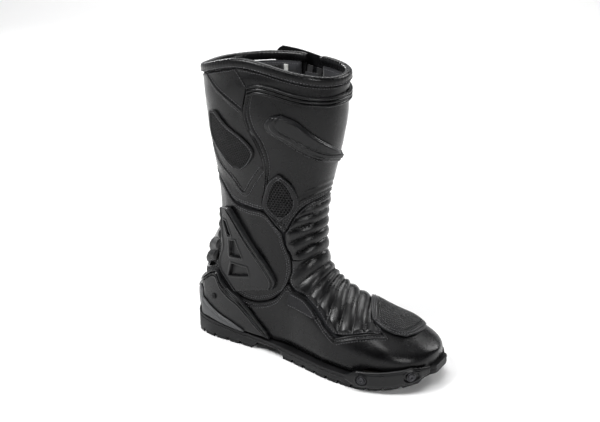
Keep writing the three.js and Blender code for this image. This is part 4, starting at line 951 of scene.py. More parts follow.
# ---- Heel counter, insert and button -------------------------------------------------------------
# A hard moulded cup wraps the heel. Its front edge carries a doubled rib; a greyer guard is let into
# the back, and a rubber button sits high on the outer side.
COUNTER_EDGE = [[108, 25], [97, 37], [86, 49], [74, 59.5], [61, 66], [50, 74], [40, 85]]
INSERT_EDGE = [[76, 22], [62, 28], [46, 33], [32, 39], [21, 45]]
grey_plastic = hide("grey_moulded_plastic", (0.036, 0.037, 0.039), 0.5, grain=0.6, relief=0.14, wear=1.6)


def heel_wrap(edge, rear_top):
    upper = [*side(edge), level(rear_top + 3, 168), level(rear_top, 180)]
    xs = [edge[0][0] + 3]
    for x in (edge[0][0] - 18, edge[0][0] - 45, 34, 15):
        if x < xs[-1] - 6:
            xs.append(x)
    low = [*feather_path(xs, LATERAL, REST_OVER_LIP), heel_feather(168, REST_OVER_LIP),
           heel_feather(180, REST_OVER_LIP)]
    return {"left": [*upper, *around(mirrored(upper[:-1]))[::-1]],
            "right": [*low, *around(mirrored(low[:-1]))[::-1]]}


def counter_relief(g):
    return (ridge(g["left"], 1.8, 1.8, 1.5) + ridge(g["left"], 6.4, 1.9, 1.7)
            + ridge(g["left"], 10.4, 1.4, 0.7))


panel("heel_counter_moulding", "heel_counter", heel_wrap(COUNTER_EDGE, 58), (-0.1, 1.7), moulded, "foot",
      1.0,
      counter_relief, 0.8)
panel("heel_guard_moulding", "heel_insert", heel_wrap(INSERT_EDGE, 49), (2.4, 4.2), grey_plastic, "foot",
      1.0, lambda g: ridge(g["left"], 1.4, 1.4, 0.5) + 0.3 * ease(g["left"], 4, 4.8), 0.8)

button_at, button_out = onto(np.array(side([(38, 52)])), 2.2)
button_at, button_out = button_at[0], button_out[0]
button_u = np.cross(button_out, [0, 0, 1])
button_u /= np.linalg.norm(button_u)
button_w = np.cross(button_u, button_out)


def turned(profile, at, axis, u, w, count=36):
    """Closed lathe form from (radius, height) stations."""
    a = np.radians(np.arange(count) * 360 / count)
    spokes = np.cos(a)[:, None] * u + np.sin(a)[:, None] * w
    return loft([at + axis * h + spokes * r for r, h in profile])


button_profile = [(3.5, 0), (3.5, 0.7), (3.2, 1.1), (2.4, 1.2), (2.2, 1.6), (1.6, 1.95), (0.7, 2.1)]
mesh_piece("heel_button_rubber", [turned(button_profile, button_at, button_out, button_u, button_w)],
           sole_rubber,
           "foot", ("heel_button",))

# ---- Footbed and foot linings --------------------------------------------------------------------
# A shaped foam footbed covered in knit lies on the board. Knit linings face the vamp and the heel,
# and a soft sleeve carries them past the ankle.
def knit(name, tint, rough=0.9, pitch=0.9):
    """Knitted or woven lining: rows of small loops with a soft sheen, the gaps between loops darkened as
    painted shade.
    """
    mat, tree, shader = material(name, rough, specular=0.2)
    links = tree.links
    place = tree.nodes.new("ShaderNodeTexCoord")
    loops = node(tree, "TexVoronoi", Scale=1000.0 / pitch, Randomness=0.15)
    tone = node(tree, "TexNoise", Scale=70.0, Detail=5.0)
    links.new(place.outputs["Object"], loops.inputs["Vector"])
    links.new(place.outputs["Object"], tone.inputs["Vector"])
    dye = ramp(tree, tone.outputs["Fac"], [(0.3, [q * 0.75 for q in tint]), (0.7, [q * 1.3 for q in tint])])
    # Painted shade: the dye is multiplied darker towards the gaps between the loops.
    shade = node(tree, "Mix", data_type="RGBA", blend_type="MULTIPLY")
    shade.inputs["Factor"].default_value = 0.8
    links.new(dye, shade.inputs["A"])
    dark = ramp(tree, loops.outputs["Distance"], [(0.2, (1, 1, 1)), (0.75, (0.25, 0.25, 0.25))])
    links.new(dark, shade.inputs["B"])
    links.new(shade.outputs["Result"], shader.inputs["Base Color"])
    shader.inputs["Sheen Weight"].default_value = 0.25
    bump = node(tree, "Bump", Strength=0.7, Distance=0.0003, invert=True)
    links.new(loops.outputs["Distance"], bump.inputs["Height"])
    links.new(bump.outputs["Normal"], shader.inputs["Normal"])
    return mat


lining_knit = knit("lining_knit", (0.022, 0.0225, 0.026))
footbed_knit = knit("footbed_knit", (0.03, 0.031, 0.034), pitch=1.4)


def last_width(x, rise, which):
    near, far, z = 0.0, 80.0, float(feather(x)) + rise
    middle = float(foot_centre(np.clip(x, 60, TOE_START)))
    for _ in range(22):
        mid = (near + far) / 2
        if last_field(np.array([x, middle - which * mid, z])) < 0:
            near = mid
        else:
            far = mid
    return middle - which * near


def footbed_ring(x):
    lateral, medial = last_width(x, 4, LATERAL) + 11.7, last_width(x, 4, MEDIAL) - 11.7
    z = float(feather(x))
    t = np.linspace(0, 1, 25)
    cup = 2.4 * (np.abs(2 * t - 1) ** 3)
    arch = 3.0 * ease(t, 0.55, 1.0) * ease(x, 70, 110) * ease(x, 190, 140)
    top = [(x, lateral + (medial - lateral) * k, z + 4.8 + c + a) for k, c, a in zip(t, cup, arch)]
    return [(x, lateral + 0.5, z + 3), *top, (x, medial - 0.5, z + 3)]


footbed_x = 22 + 244 * (1 - np.cos(np.linspace(0.1, math.pi - 0.1, 70))) / 2
footbed = mesh_piece("footbed_pad", [loft([footbed_ring(x) for x in footbed_x])], footbed_knit, "foot",
                     ("footbed",), 50)

lining_left = [(v, a - 1) for v, a in feather_path([60, 85, 115, 145, 172, 200, 220, 236])]
lining_right = mirrored(lining_left)
lining_top = [lining_left[0], *side([(62, 70)]), (1.36, 90), (1.42, 40), (1.42, 0), (1.42, -40), (1.36, -90),
              *side([(62, 70)], MEDIAL), lining_right[0]]
lining_bottom = [lining_left[-1], (2.83, 60), (2.84, 0), (2.83, -60), lining_right[-1]]
panel("foot_lining_knit", "foot_lining",
      {"left": lining_left, "right": lining_right, "top": lining_top, "bottom": lining_bottom}, (-8.3, -6.9),
      lining_knit, "foot", 3.0, lambda g: drape(g["p"], 0.3, 30, 21), 0.5)
heel_upper = [*side([(56, 72), (45, 78)]), level(80, 165), level(80, 180)]
heel_lower = [*side([(56, float(feather(56)) + 3)]), *feather_path([34, 16]), heel_feather(180)]
panel("heel_lining_knit", "heel_lining",
      {"left": [*heel_upper, *around(mirrored(heel_upper[:-1]))[::-1]],
       "right": [*heel_lower, *around(mirrored(heel_lower[:-1]))[::-1]]}, DEEP, lining_knit, "foot",
       2.5,
      None, 0.5)

# ---- Toe slider ----------------------------------------------------------------------------------
# A replaceable hard slider on the outer toe edge, held by two socket screws in recessed washers.
SLIDER = {"start": 219, "end": 294, "thickness": 3.2, "low": 4.5, "high": 23.5, "clearance": 0.4, "half": 9.5}
SCREW = {"washer": 5.2, "recess": 1.2}
SCREW_X = (237, 281)


def sole_side(x, z, offset):
    y = plan_lateral(x) - SOLE_MARGIN
    slope = (plan_lateral(x + 1) - plan_lateral(x - 1)) / 2
    out = np.array([slope, -1.0, 0.0])
    out /= np.linalg.norm(out)
    return np.array([x, y, z]) + out * offset, out


def slider_middle(x):
    return (SLIDER["low"] + SLIDER["high"]) / 2 + ground(x) * 0.85


def slider_face(x, z):
    """Height of the slider's outer face: a crowned bar, recessed round each screw."""
    t = (x - SLIDER["start"]) / (SLIDER["end"] - SLIDER["start"])
    taper = min(1, 0.35 + 4 * t, 0.35 + 4 * (1 - t))
    up = (z - slider_middle(x)) / (SLIDER["half"] * taper)
    crown = SLIDER["thickness"] * max(1 - abs(up) ** 5, 0) ** 0.5
    lines = 0.25 * ridge(abs(up), 0.72, 0.1, 1.0)
    height = max(crown, 0.5) - lines
    for sx in SCREW_X:
        away = math.hypot(x - sx, z - slider_middle(sx))
        height -= (SCREW["recess"] + 0.5) * ease(away, SCREW["washer"] + 0.5, SCREW["washer"] + 0.1)
        height += 0.5 * ridge(away, SCREW["washer"] + 1.4, 1.0, 1.0)
    return max(height, 0.4)


slider_rings = []
for x in np.linspace(SLIDER["start"], SLIDER["end"], 150):
    t = (x - SLIDER["start"]) / (SLIDER["end"] - SLIDER["start"])
    half = SLIDER["half"] * min(1, 0.35 + 4 * t, 0.35 + 4 * (1 - t))
    zs = slider_middle(x) + np.linspace(-half, half, 42)
    front = [sole_side(x, z, SLIDER["clearance"] + slider_face(x, z))[0] for z in zs]
    rear = [sole_side(x, z, SLIDER["clearance"])[0] for z in zs[::-6]]
    slider_rings.append([*front, *rear])
mesh_piece("toe_slider_moulding", [loft(slider_rings)], moulded, "foot", ("toe_slider",), 40)
for x, end in zip(SCREW_X, ("rear", "front")):
    at, out = sole_side(x, slider_middle(x),
                        SLIDER["clearance"] + SLIDER["thickness"] + 0.3 - SCREW["recess"])
    u = np.cross(out, [0, 0, 1.0])
    w = np.cross(u, out)
    ring = [(3.75, 0), (5.1, 0), (5.1, 0.75), (4.9, 1.0), (4.0, 1.0), (3.75, 0.8)]
    a = np.radians(np.arange(40) * 9)
    spokes = np.cos(a)[:, None] * u + np.sin(a)[:, None] * w
    stations = np.array([at + out * h + spokes * r for r, h in ring])
    quads = grid_faces(len(ring), 40, wrap=True)
    j = np.arange(40)
    close = np.stack([200 + j, 200 + (j + 1) % 40, (j + 1) % 40, j], -1)
    mesh_piece("slider_washer_" + end + "_ring",
               [(stations.reshape(-1, 3), [np.concatenate([quads, close])])], steel,
               "foot", ("slider_washer_" + end,), 40)
    head = [(3.4, 0), (3.4, 1.3), (3.15, 1.7), (2.6, 1.8), (1.75, 1.8), (1.6, 1.65), (1.6, 0.8), (0.4, 0.7)]
    mesh_piece("slider_screw_" + end + "_head", [turned(head, at, out, u, w, 30)], steel, "foot",
               ("slider_screw_" + end,), 30)

# ---- Shin panel and collar front -----------------------------------------------------------------
# The shin is one smooth-leather panel between two sewn side seams, running down to a V over the
# flex zone. Above it a collar panel meets the rim; a band of three piping rolls covers the join.
SHIN_EDGE = [(0.28, 92), (0.39, 88), (0.47, 79), (0.57, 72), (0.66, 71), (0.76, 73), (0.86, 77), (0.95, 62),
             (1.035, 47)]
SHIN_EDGE_MEDIAL = [(0.28, -54), (0.39, -53), (0.47, -52), (0.57, -50), (0.66, -50), (0.76, -50), (0.86, -50),
                    (0.95, -49), (1.035, -47)]
SHIN_TOP = [(0.14, 86), (0.12, 74), (0.13, 59), (0.155, 45), (0.18, 28), (0.19, 10), (0.19, -10), (0.18, -28),
            (0.17, -40), (0.18, -53)]
SHIN_BOTTOM = [(1.035, 47), (0.93, 37), (0.86, 28), (0.82, 14), (0.81, 0), (0.82, -14), (0.86, -28),
               (0.93, -37),
               (1.035, -47)]
BINDING, COLLAR, PANEL_GAP = 10, 40, 0.6


def surface_line(points, lift, count=200):
    """A finished line on the last through surface coordinates: its points and normals."""
    return onto(path(points)(np.linspace(0, 1, count)), lift)


def nearness(g, points, count=90):
    """Distance from every point of a panel to a line on the last."""
    line = onto(path(points)(np.linspace(0, 1, count)))[0]
    spots = g["p"].reshape(-1, 3)
    best = np.full(len(spots), 1e9)
    for q in line:
        best = np.minimum(best, np.sum((spots - q) ** 2, axis=1))
    return np.sqrt(best).reshape(g["p"].shape[:2])


def shin_relief(g):
    near_v = ease(g["s"], 0.72, 1.0)
    creases = 0.5 * np.sin(2 * math.pi * g["bottom"] / 9) * near_v * ease(g["edge"], 1, 8)
    cords = (ridge(g["left"], 1.8, 1.7, 1.4) + ridge(g["left"], 6.4, 1.7, 1.2)
             + ridge(g["right"], 1.8, 1.7, 1.0))
    return drape(g["p"], 0.9, 60, 31) * ease(g["edge"], 4, 18) + creases + cords


panel("shin_panel_leather", "shin_panel",
      {"left": [SHIN_TOP[0], *SHIN_EDGE], "right": [SHIN_TOP[-1], *SHIN_EDGE_MEDIAL], "top": SHIN_TOP,
       "bottom": SHIN_BOTTOM}, BASE, [smooth_leather, thread], "leg", 1.2, shin_relief, 1.0,
      [("left", (4.1, 9.0)), ("right", (4.1, 6.4)), ("bottom", (2.0, 4.8))])

collar_angles = (100, 72, 48, 24, 0, -24, -40, -53)
collar_top = [below_rim(a, BINDING + PANEL_GAP) for a in collar_angles]
collar_bottom = [(v - 0.004, a) for v, a in SHIN_TOP]
panel("front_collar_leather", "front_collar_panel",
      {"left": [collar_top[0], collar_bottom[0]], "right": [collar_top[-1], collar_bottom[-1]],
       "top": collar_top,
       "bottom": collar_bottom}, BASE, [smooth_leather, thread], "leg", 1.4,
      lambda g: drape(g["p"], 0.9, 45, 37) * ease(g["top"], 2, 12), 0.9, [("top", (2.0,))],
      hem=("top", "right", "bottom"))

piping_top = [(v - 0.012, a) for v, a in SHIN_TOP]
piping_bottom = [(v + 0.05, a) for v, a in SHIN_TOP]


def piping_relief(g):
    return 1.7 * np.abs(np.sin(np.pi * g["s"] * 3)) ** 0.6 - 0.9 + drape(g["p"], 0.15, 12, 35)


piping, _ = panel("shin_piping_rolls", "shin_piping",
                  {"left": [piping_top[0], piping_bottom[0]], "right": [piping_top[-1], piping_bottom[-1]],
                   "top": piping_top, "bottom": piping_bottom}, OVER, [smooth_leather, thread], "leg",
                   0.8,
                  piping_relief, 0.5, (), 60)

# ---- Calf panel, back strip and cuffs ------------------------------------------------------------
# The outer calf is one leather panel, decorated with a stitched zigzag fold. A strip covers the back
# seam, and two cuffs close round the ankle above the heel.
STRIP_ANGLE = 163
CUFF_LINE = [[48, 192], [58, 184], [70, 174], [89, 171], [107, 170]]
calf_start = (0.136, 87)
calf_right = [(0.2, 90.2), *[(v, a + PANEL_GAP + 0.2) for v, a in SHIN_EDGE[:7]]]
calf_top = [*[below_rim(a, BINDING + 2 * PANEL_GAP)
              for a in (STRIP_ANGLE, 154, 145, 135, 125, 116, 108, 100)], calf_start]
calf_line = side([(x, z + 1.5) for x, z in CUFF_LINE])
calf_bottom = [(calf_line[0][0] - 0.02, STRIP_ANGLE), *calf_line, calf_right[-1]]
ZIGZAG = side([(30, 318), (43, 308), (58, 298), (75, 290), (90, 282)])
VEE = side([(40, 232), (48, 216), (65, 204), (85, 187), (98, 203), (111, 220)])


def calf_relief(g):
    fold = nearness(g, ZIGZAG)
    vee = nearness(g, VEE)
    lines = ridge(fold, 0, 2.2, 1.1) + ridge(vee, 0, 2.0, 1.0)
    return drape(g["p"], 0.9, 45, 37) * ease(np.minimum(g["edge"], g["top"]), 2, 12) + lines


def beside(points, offset, lift=-1.5):
    """Stitch row on the last beside a line of surface coordinates."""
    def make(_):
        p, n = surface_line(points, 0)
        ahead = np.gradient(p, axis=0)
        ahead /= np.linalg.norm(ahead, axis=1, keepdims=True)
        return stitches((p + np.cross(ahead, n) * offset + n * lift, n))
    return make


panel("calf_leather_lateral", "calf_panel_lateral",
      {"left": [calf_top[0], calf_bottom[0]], "right": [calf_start, *calf_right], "top": calf_top,
       "bottom": calf_bottom},
      BASE, [smooth_leather, thread], "leg", 1.4, calf_relief, 1.0,
      [("left", (2.0,)), ("top", (2.0,)), ("bottom", (2.0, 4.4))], 35,
      [beside(line, offset) for line in (ZIGZAG, VEE) for offset in (3.2, -3.2)])

strip_left = [below_rim(STRIP_ANGLE + 1, BINDING + PANEL_GAP), level(153, STRIP_ANGLE + 1)]
strip_top = [below_rim(a, BINDING + PANEL_GAP) for a in (164, 172, 180, 188, 196)]
panel("rear_strip_leather", "rear_strip",
      {"left": strip_left, "right": around(mirrored(strip_left)), "top": strip_top}, BASE,
      [smooth_leather, thread],
      "leg", 1.4, lambda g: ridge(g["left"], 1.4, 1.6, 0.5) + ridge(g["right"], 1.4, 1.6, 0.5)
      + drape(g["p"], 0.3, 25, 39) * ease(g["edge"], 0, 6), 0.9,
      [("left", (3.4,)), ("right", (3.4,)), ("bottom", (2.0,))])


def cuff_shape(which):
    line = CUFF_LINE if which == LATERAL else [[48, 190], [58, 176], [72, 158], [88, 147], [107, 146]]
    tip = [[116, 162], [127, 148.5]] if which == LATERAL else [[117, 146], [126, 145]]

    def across(a):
        return a if which == LATERAL else 360 - a
    places = around(side([(x, z - 2) for x, z in [*line, *tip]], which))
    top = [(places[0][0] - 0.02, across(STRIP_ANGLE - 1)), *places]
    bottom = around(arc(LEG_ARC, 174, 322, 9, which))
    front = around(arc(LEG_ARC, 28, -38, 5, which))
    rear = [level(z, across(a)) for z, a in ((172, 162), (156, 161), (149, 156), (135, 155), (122, 155))]
    return {"left": [top[0], *rear, bottom[0]], "right": [top[-1], *front], "top": top, "bottom": bottom}


for which, which_name in ((LATERAL, "lateral"), (MEDIAL, "medial")):
    panel("ankle_cuff_" + which_name + "_leather", "ankle_cuff_" + which_name, cuff_shape(which), BASE,
          [smooth_leather, thread], "leg", 1.3,
          lambda g: drape(g["p"], 0.6, 30, 41) * ease(g["edge"], 0, 8) + ridge(g["bottom"], 1.6, 1.8, 0.6),
          0.6,
          [("bottom", (3.6, 6.0)), ("right", (2.0, 4.4)), ("top", (2.0, 4.4))])

# ---- Shin plate ----------------------------------------------------------------------------------
# A moulded guard across the shin: a long bevelled blade with a sunk channel, sewn on over the panel.
plate_left = [(0.29, 62), (0.335, 67), (0.38, 64), (0.43, 50), (0.49, 37), (0.55, 22), (0.6, 0)]
plate_right = [(0.275, 52), (0.31, 40), (0.37, 30), (0.44, 17), (0.49, 6), (0.52, 0), (0.53, -4)]


def plate_relief(g):
    bevel = 2.6 * ease(g["right"], 0.3, 3.2) * ease(g["left"], 0.3, 4.6)
    step = (1.1 * ease(g["left"], 6.0, 7.6) - 0.8 * ease(g["left"], 11.0, 11.8)
            + 0.8 * ease(g["left"], 13.0, 13.8))
    return bevel + step - 1.0


panel("shin_plate_moulding", "shin_plate", {"left": plate_left, "right": plate_right}, (-0.9, 2.8),
      [moulded, thread],
      "leg", 0.7, plate_relief, 0.9, [("left", (1.6,))], 40)

# ---- Vent pad and calf mesh ----------------------------------------------------------------------
# A foam teardrop with a perforated centre sits beside the shin. A window of open mesh is let into the
# calf panel above it.
pad_shape = {"left": [(0.645, 55), (0.7, 65), (0.78, 71), (0.85, 74), (0.9, 66), (0.945, 54)],
             "right": [(0.65, 52), (0.7, 42), (0.76, 36), (0.82, 33), (0.88, 36), (0.945, 49)]}
mesh_shape = {"left": [(0.33, 139), (0.4, 141), (0.5, 141), (0.6, 126), (0.65, 113)],
              "right": [(0.32, 131), (0.39, 116), (0.45, 95), (0.52, 82), (0.6, 90), (0.655, 103)]}


def vent_holes(g):
    return dots(g, 3.3, 2.1, 0.25) * ease(g["edge"], 5.8, 6.3)


def vent_relief(g):
    border = 1.5 * ease(g["edge"], 0.6, 2.2) * ease(g["edge"], 5.6, 4.6)
    return border + 0.4 * ease(g["edge"], 5.6, 9) - 1.6 * vent_holes(g) - 0.5


def mesh_holes(g):
    return dots(g, 2.3, 1.5, 0.25) * ease(g["edge"], 3.0, 3.6)


def mesh_relief(g):
    return 0.8 * ridge(g["edge"], 1.5, 1.7, 1.0) - 1.0 * mesh_holes(g) - 0.2 * ease(g["edge"], 2.6, 3.2)


vent_cloth = dotted("vent_cloth", (0.009, 0.009, 0.0095), 0.5)
# The holes in the pad and the mesh are sunk in relief and also darkened in colour as painted shade.
vent, _ = panel("vent_pad_foam", "vent_pad", pad_shape, (-0.9, 1.7), [vent_cloth, thread], "leg",
                0.45,
                vent_relief, 0.9, [("left", (1.2, 5.2)), ("right", (1.2, 5.2))], 60, hole_shade=vent_holes)
panel("calf_mesh_cloth", "calf_mesh", mesh_shape, OVER, [vent_cloth, thread], "leg", 0.5, mesh_relief,
      0.8,
      [("left", (1.5,)), ("right", (1.5,))], 60, hole_shade=mesh_holes)

# ---- Ankle brace and inner guard -----------------------------------------------------------------
# A stiff moulded brace stands on the outer ankle, cut out with three slots and edged with a double
# rib. The inner ankle has a plain moulded disc of the same plastic.
BRACE_REAR = [[48, 160], [49.5, 146], [50.5, 133], [52, 116], [47, 101], [47, 90], [57, 79], [69, 67]]
BRACE_FRONT = [[64, 165], [73, 156], [82, 145], [91, 133], [101, 120], [111, 107], [120, 91], [118, 81]]
BRACE_SLOTS = [
    [[55.5, 148], [59, 148], [66, 133], [62, 132]],
    [[64, 127], [72, 129], [80, 111], [64, 109]],
    [[66, 100], [86, 100.5], [88, 91], [62, 85]],
]


def polygon_distance(g, outline):
    """Signed distance in the side view: below zero inside the outline."""
    x, z = g["p"][..., 0], g["p"][..., 2]
    inside, best = np.zeros(x.shape, bool), np.full(x.shape, 1e9)
    for (x0, z0), (x1, z1) in zip(outline, outline[1:] + outline[:1]):
        crosses = ((z0 > z) != (z1 > z)) & (x < (x1 - x0) * (z - z0) / (z1 - z0 + 1e-9) + x0)
        inside ^= crosses
        share = np.clip(((x - x0) * (x1 - x0) + (z - z0) * (z1 - z0)) / ((x1 - x0) ** 2 + (z1 - z0) ** 2), 0,
                        1)
        best = np.minimum(best, np.hypot(x - x0 - share * (x1 - x0), z - z0 - share * (z1 - z0)))
    return np.where(inside, -best, best)


def brace_slots(g):
    return np.min([polygon_distance(g, outline) for outline in BRACE_SLOTS], axis=0)


def brace_relief(g):
    slot = brace_slots(g)
    lip = ridge(slot, 1.3, 1.4, 0.6)
    ribs = (ridge(g["right"], 1.6, 1.6, 1.5) + ridge(g["right"], 6.0, 1.6, 1.3)
            + ridge(g["left"], 1.6, 1.5, 0.9))
    return ribs * ease(slot, 0.2, 1.5) + lip - 3.6 * ease(slot, 0.25, -0.45)


def guard_relief(g):
    return ridge(g["right"], 1.8, 1.6, 0.8) + ridge(g["left"], 1.8, 1.6, 0.8) + 0.7 * ease(g["edge"], 7, 9)


# The slot mask is stored as a painted-shade attribute, but the moulded plastic does not read it.
panel("ankle_brace_moulding", "ankle_brace",
      {"left": around(side(BRACE_REAR)), "right": around(side(BRACE_FRONT))}, ARMOUR, moulded, "leg",
      0.55,
      brace_relief, 1.0, (), 45, hole_shade=lambda g: ease(brace_slots(g), 0, -0.5))
panel("ankle_guard_moulding", "ankle_guard_medial",
      {"left": around(side(BRACE_REAR, MEDIAL)), "right": around(side(BRACE_FRONT, MEDIAL))}, ARMOUR, moulded,
      "leg", 1.0, guard_relief, 1.0, (), 45)

# ---- Inner leg panels ----------------------------------------------------------------------------
# Two smooth-leather panels stand either side of the zip, turned under and edge-stitched along it.
ZIP = {"low": (98, 152), "high": (114.5, 306), "slot": 22, "chain_half": 2.6, "rest": 272}


def zip_x(z):
    (x0, z0), (x1, z1) = ZIP["low"], ZIP["high"]
    return x0 + (x1 - x0) * (z - z0) / (z1 - z0)


def slot_edge(direction, extra, heights):
    return side([(zip_x(z) + direction * (ZIP["slot"] / 2 + extra), z) for z in heights], MEDIAL)


def welted(g, edge):
    return 0.8 * ease(g[edge], 5.5, 1.5) + drape(g["p"], 0.5, 45, 43) * ease(g["edge"], 0, 10)


front_left = [(v, a - PANEL_GAP) for v, a in [below_rim(-54, BINDING + PANEL_GAP), *SHIN_EDGE_MEDIAL[:8]]]
front_left.insert(1, (0.17, -54.5))
front_left[-1] = side([(zip_x(150) + 28, 150)], MEDIAL)[0]
front_right = slot_edge(1, 0, (302, 270, 235, 200, 175, 150))
front_right[0] = (below_rim(front_right[0][1], BINDING + PANEL_GAP)[0], front_right[0][1])
panel("medial_front_leather", "medial_panel_front", {"left": front_left, "right": front_right}, BASE,
      [smooth_leather, thread], "leg", 1.5, lambda g: welted(g, "right"), 1.0,
      [("right", (2.0, 4.6)), ("left", (2.2,)), ("bottom", (2.0,)), ("top", (2.0,))])
rear_left = around(slot_edge(-1, 0, (302, 270, 235, 200, 175, 151)))
rear_left[0] = (below_rim(rear_left[0][1], BINDING + PANEL_GAP)[0], rear_left[0][1])
back_angle = 360 - STRIP_ANGLE
rear_right = [below_rim(back_angle, BINDING + PANEL_GAP), (0.5, back_angle), (0.715, back_angle)]
rear_bottom = around(side([(86, 152), (74, 162), (60, 179), (49, 192)], MEDIAL))
rear_bottom[0] = rear_left[-1]
rear_bottom.append(rear_right[-1])
panel("medial_rear_leather", "medial_panel_rear",
      {"left": rear_left, "right": rear_right, "bottom": rear_bottom}, BASE,
      [smooth_leather, thread], "leg", 1.5, lambda g: welted(g, "left"), 1.0,
      [("left", (2.0, 4.6)), ("right", (2.2,)), ("bottom", (2.0,)), ("top", (2.0,))])

# ---- Zip -----------------------------------------------------------------------------------------
# A straight moulded-coil zip on woven tapes, with a locking slider, a pull tab and two stops.
zip_foot = onto(np.array(side([ZIP["low"]], MEDIAL)), BASE[1] - 1.4)[0][0]
zip_head = onto(np.array(side([ZIP["high"]], MEDIAL)), BASE[1] - 1.4)[0][0]
zip_length = np.linalg.norm(zip_head - zip_foot)
zip_along = (zip_head - zip_foot) / zip_length
zip_out = np.array([0.18, 1, 0]) - np.dot([0.18, 1, 0], zip_along) * zip_along
zip_out /= np.linalg.norm(zip_out)
zip_across = np.cross(zip_out, zip_along)
zip_across *= np.sign(zip_across[0])


def zip_at(a, c, o):
    return zip_foot + zip_along * a + zip_across * c + zip_out * o


def zip_bar(start, end, left, right, low, high, bevel=0.2):
    """A small block in the zip's own frame with bevelled ends and top."""
    rings = []
    for a, b in ((start, bevel), (start + bevel, 0), (end - bevel, 0), (end, bevel)):
        rings.append([zip_at(a, left + b, low), zip_at(a, right - b, low), zip_at(a, right - b, high - bevel),
                      zip_at(a, right - b - bevel, high - b / 2), zip_at(a, left + b + bevel, high - b / 2),
                      zip_at(a, left + b, high - bevel)])
    return loft(rings)


tape_cloth = knit("zip_tape_weave", (0.008, 0.008, 0.009), 0.8, pitch=0.7)
coil_plastic = hide("coil_plastic", (0.012, 0.012, 0.013), 0.3, grain=0.4, relief=0.1)
dark_metal = hide("dark_satin_metal", (0.06, 0.062, 0.068), 0.32, grain=0.5, relief=0.08, wear=3.0)
dark_metal.node_tree.nodes["Principled BSDF"].inputs["Metallic"].default_value = 1.0
for direction, tape_name in ((1, "front"), (-1, "rear")):
    strips = []
    for k in range(12):
        a0, a1 = ZIP["chain_half"] + 0.35 + k * 0.6, ZIP["chain_half"] + 0.35 + (k + 1) * 0.6
        low, high = sorted((direction * a0, direction * (a1 + 0.02)))
        strips.append(zip_bar(0, zip_length, low, high, 0, 0.9 - 0.12 * (k % 2), 0.1))
    mesh_piece("zip_tape_" + tape_name + "_weave", strips, tape_cloth, "leg",
               ("zip_tape_" + tape_name,))
coil = []
for k in range(int((zip_length - 13) / 1.4)):
    a = 6.5 + k * 1.4
    reach = (-2.6, 0.9) if k % 2 else (-0.9, 2.6)
    coil.append(zip_bar(a, a + 1.05, *reach, 0.35, 1.75, 0.3))
coil.append(zip_bar(6, zip_length - 6, -1.9, 1.9, 0, 0.6, 0.1))
mesh_piece("zip_coil", coil, coil_plastic, "leg", ("zip_chain",))
for start, stop_name in ((1, "low"), (zip_length - 5.6, "high")):
    mesh_piece("zip_stop_" + stop_name + "_staple", [zip_bar(start, start + 4.6, -3.6, 3.6, 1.3, 3.0, 0.5)],
               dark_metal,
               "leg", ("zip_stop_" + stop_name,))
rest_at = (ZIP["rest"] - zip_foot[2]) / zip_along[2]
DECK = 2.2
slider_parts = []
shape = [(-8, 2.6), (-7.4, 3.4), (-4, 3.7), (0, 4.4), (3, 4.9), (6, 4.9), (7.6, 4.2), (8, 3.4)]
slider_parts.append(loft([[zip_at(rest_at + a, c * w, DECK + o) for c, o in
                           ((-1, 0), (1, 0), (1, 1.0), (0.82, 1.6), (-0.82, 1.6), (-1, 1.0))]
                          for a, w in shape]))
arch = [(-0.1, 1.2), (-0.2, 3.2), (0.3, 4.1), (1.2, 4.4), (3.8, 4.4), (4.8, 4.1), (5.2, 3.2), (5.1, 1.2)]
arch_rings = []
for k, (a, o) in enumerate(arch):
    before, after = np.array(arch[max(k - 1, 0)]), np.array(arch[min(k + 1, len(arch) - 1)])
    run = (after - before) / np.linalg.norm(after - before)
    normal = np.array([-run[1], run[0]]) * 0.38
    arch_rings.append([zip_at(rest_at + a + sa * normal[0], c, DECK + o + sa * normal[1])
                       for c, sa in ((-1.2, -0.6), (-0.8, -1), (0.8, -1), (1.2, -0.6), (1.2, 0.6), (0.8, 1),
                                     (-0.8, 1), (-1.2, 0.6))])
slider_parts.append(loft(arch_rings))
mesh_piece("zip_slider_body", slider_parts, dark_metal, "zip_slider", ("zip_slider",))


def pull_half(a):
    """Half width of the pull along its length: waisted, with a rounded free end."""
    return 2.7 + 0.9 * ease(a, -4, -9) - 1.6 * ease(a, -22.5, -25.2) + 0.6 * ease(a, -3, 2)


pull_parts = []
for sign in (-1, 1):
    rings = []
    for a in np.linspace(-12, 3.7, 24):
        inner = 1.75 + (0.25 if a > -2 else 0)
        outer = pull_half(a) if a < 3.2 else pull_half(a) - 0.5
        if a < -3:
            inner = max(1.75 - 1.75 * float(ease(a, -3, -4.5)) + 1.9 * float(ease(a, -10.5, -12)), 0.0)
        rings.append([zip_at(rest_at + a, sign * c, DECK + o) for c, o in
                      ((inner, 2.3), (outer, 2.3), (outer, 3.2), (outer - 0.3, 3.5), (inner + 0.1, 3.5),
                       (inner, 3.3))])
    pull_parts.append(loft(rings))
    rings = []
    for a in np.linspace(-25, -12, 20):
        inner = 1.9 if a > -22 else 1.9 * (1 - float(ease(a, -22, -23)))
        rings.append([zip_at(rest_at + a, sign * c, DECK + o) for c, o in
                      ((inner, 2.3), (pull_half(a), 2.3), (pull_half(a), 3.2), (pull_half(a) - 0.3, 3.5),
                       (inner + 0.1, 3.5), (inner, 3.3))])
    pull_parts.append(loft(rings))
bar = [(2.75, 2.45), (3.1, 2.35), (3.5, 2.5), (3.65, 2.9), (3.5, 3.3), (3.1, 3.45), (2.75, 3.35), (2.6, 2.9)]
pull_parts.append(loft([[zip_at(rest_at + a, c, DECK + o) for a, o in bar] for c in (-2.4, -0.8, 0.8, 2.4)]))
mesh_piece("zip_pull_tab", pull_parts, dark_metal, "zip_pull", ("zip_pull",))
gusset_heights = (300, 265, 230, 195, 168)
panel("zip_gusset_knit", "zip_gusset",
      {"left": slot_edge(1, -2, gusset_heights), "right": slot_edge(-1, -2, gusset_heights)}, (-7.8, -6.6),
      lining_knit,
      "leg", 2.0, None, 0.4)

